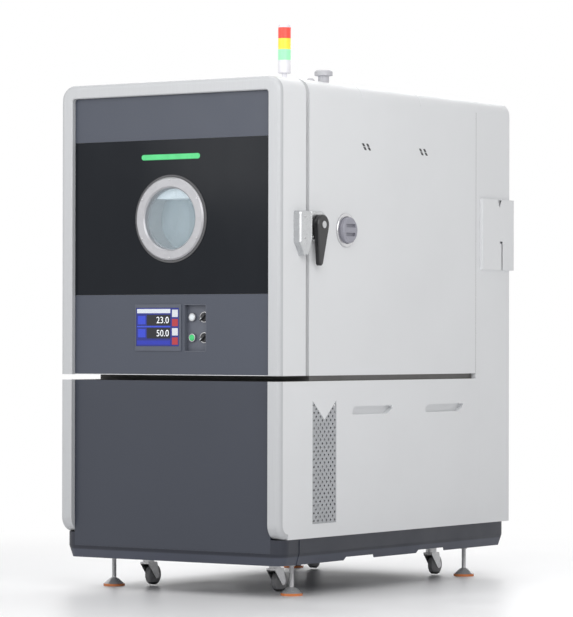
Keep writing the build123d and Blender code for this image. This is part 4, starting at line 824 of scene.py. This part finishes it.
def make_floor():
    """Pale floor that fades to plain white away from the object."""
    mesh = bmesh.new()
    reach = 40.0
    corners = ((-1, -1), (1, -1), (1, 1), (-1, 1))
    mesh.faces.new([mesh.verts.new((x * reach, y * reach, 0.0)) for x, y in corners])
    data = bpy.data.meshes.new("floor")
    mesh.to_mesh(data)
    mesh.free()
    floor = bpy.data.objects.new("floor", data)
    bpy.context.scene.collection.objects.link(floor)
    paint = Paint("floor", (0.90, 0.90, 0.91), 0.35)
    paint.rough(paint.noise(3.0, 3.0), 0.3, 0.42)
    coords = paint.node("ShaderNodeTexCoord")
    length = paint.node("ShaderNodeVectorMath", operation="LENGTH")
    paint.link(coords.outputs["Object"], length.inputs[0])
    near, far = 1.2, 3.4
    fade = paint.span(length.outputs["Value"], near, far, 0.0, 1.0, smooth=True)
    white = paint.node("ShaderNodeEmission")
    white.inputs["Color"].default_value = (1, 1, 1, 1)
    white.inputs["Strength"].default_value = 1.0
    mix = paint.node("ShaderNodeMixShader")
    paint.link(fade, mix.inputs["Fac"])
    paint.link(paint.shader.outputs["BSDF"], mix.inputs[1])
    paint.link(white.outputs["Emission"], mix.inputs[2])
    output = next(node for node in paint.tree.nodes if node.type == "OUTPUT_MATERIAL")
    paint.link(mix.outputs["Shader"], output.inputs["Surface"])
    data.materials.append(paint.material)


def make_world():
    """Soft grey-white surround that shows as white behind the object and in its reflections."""
    world = bpy.data.worlds.new("studio")
    bpy.context.scene.world = world
    world.use_nodes = True
    tree = world.node_tree
    background = tree.nodes["Background"]
    background.inputs["Color"].default_value = (1, 1, 1, 1)
    path = tree.nodes.new("ShaderNodeLightPath")
    first = tree.nodes.new("ShaderNodeMath")
    first.operation = "MAXIMUM"
    second = tree.nodes.new("ShaderNodeMath")
    second.operation = "MAXIMUM"
    strength = tree.nodes.new("ShaderNodeMapRange")
    strength.inputs["To Min"].default_value = WORLD_STRENGTH
    strength.inputs["To Max"].default_value = 1.0
    tree.links.new(path.outputs["Is Camera Ray"], first.inputs[0])
    tree.links.new(path.outputs["Is Glossy Ray"], first.inputs[1])
    tree.links.new(first.outputs["Value"], second.inputs[0])
    tree.links.new(path.outputs["Is Transmission Ray"], second.inputs[1])
    tree.links.new(second.outputs["Value"], strength.inputs["Value"])
    tree.links.new(strength.outputs["Result"], background.inputs["Strength"])


def seen_from(azimuth, elevation):
    """Unit vector from the cabinet to a viewpoint; azimuth 0 is in front of the door."""
    a, e = math.radians(azimuth), math.radians(elevation)
    return Vector((math.sin(a) * math.cos(e), -math.cos(a) * math.cos(e), math.sin(e)))


def area_light(name, azimuth, elevation, distance, size, power):
    """A soft square lamp that looks at the cabinet's middle."""
    data = bpy.data.lights.new(name, "AREA")
    data.shape = "SQUARE"
    data.size = size
    data.energy = power
    lamp = bpy.data.objects.new(name, data)
    bpy.context.scene.collection.objects.link(lamp)
    direction = seen_from(azimuth, elevation)
    lamp.location = CAMERA_TARGET + direction * distance
    lamp.rotation_euler = (-direction).to_track_quat("-Z", "Y").to_euler()


def make_lights():
    area_light("key", 44, 26, 5.0, 3.2, 88)
    area_light("front", -16, 24, 7.0, 4.5, 130)
    area_light("top", 0, 88, 5.0, 4.0, 95)
    area_light("back", 205, 30, 7.0, 5.0, 170)


def make_camera():
    """The photograph's camera: its window on the photo, enlarged, gives the lens and the shift."""
    back = seen_from(CAMERA_AZIMUTH, CAMERA_ELEVATION)
    data = bpy.data.cameras.new("camera")
    longest = max(IMAGE_SIZE)
    data.sensor_width = SENSOR
    data.sensor_fit = "AUTO"
    data.lens = PHOTO_FOCAL_PX * PHOTO_ENLARGED / longest * SENSOR
    centre_x = (PHOTO_CENTRE_PX[0] - PHOTO_WINDOW_PX[0]) * PHOTO_ENLARGED
    centre_y = (PHOTO_CENTRE_PX[1] - PHOTO_WINDOW_PX[1]) * PHOTO_ENLARGED
    data.shift_x = (IMAGE_SIZE[0] / 2 - centre_x) / longest
    data.shift_y = (centre_y - IMAGE_SIZE[1] / 2) / longest
    data.clip_end = 100.0
    camera = bpy.data.objects.new("camera", data)
    bpy.context.scene.collection.objects.link(camera)
    camera.location = CAMERA_TARGET + back * CAMERA_DISTANCE
    facing = back.to_track_quat("Z", "Y").to_matrix().to_4x4()
    roll = Matrix.Rotation(math.radians(CAMERA_ROLL), 4, "Z")
    camera.rotation_euler = (facing @ roll).to_euler()
    bpy.context.scene.camera = camera


make_floor()
make_world()
make_lights()
make_camera()
bpy.context.scene.view_settings.view_transform = "Standard"
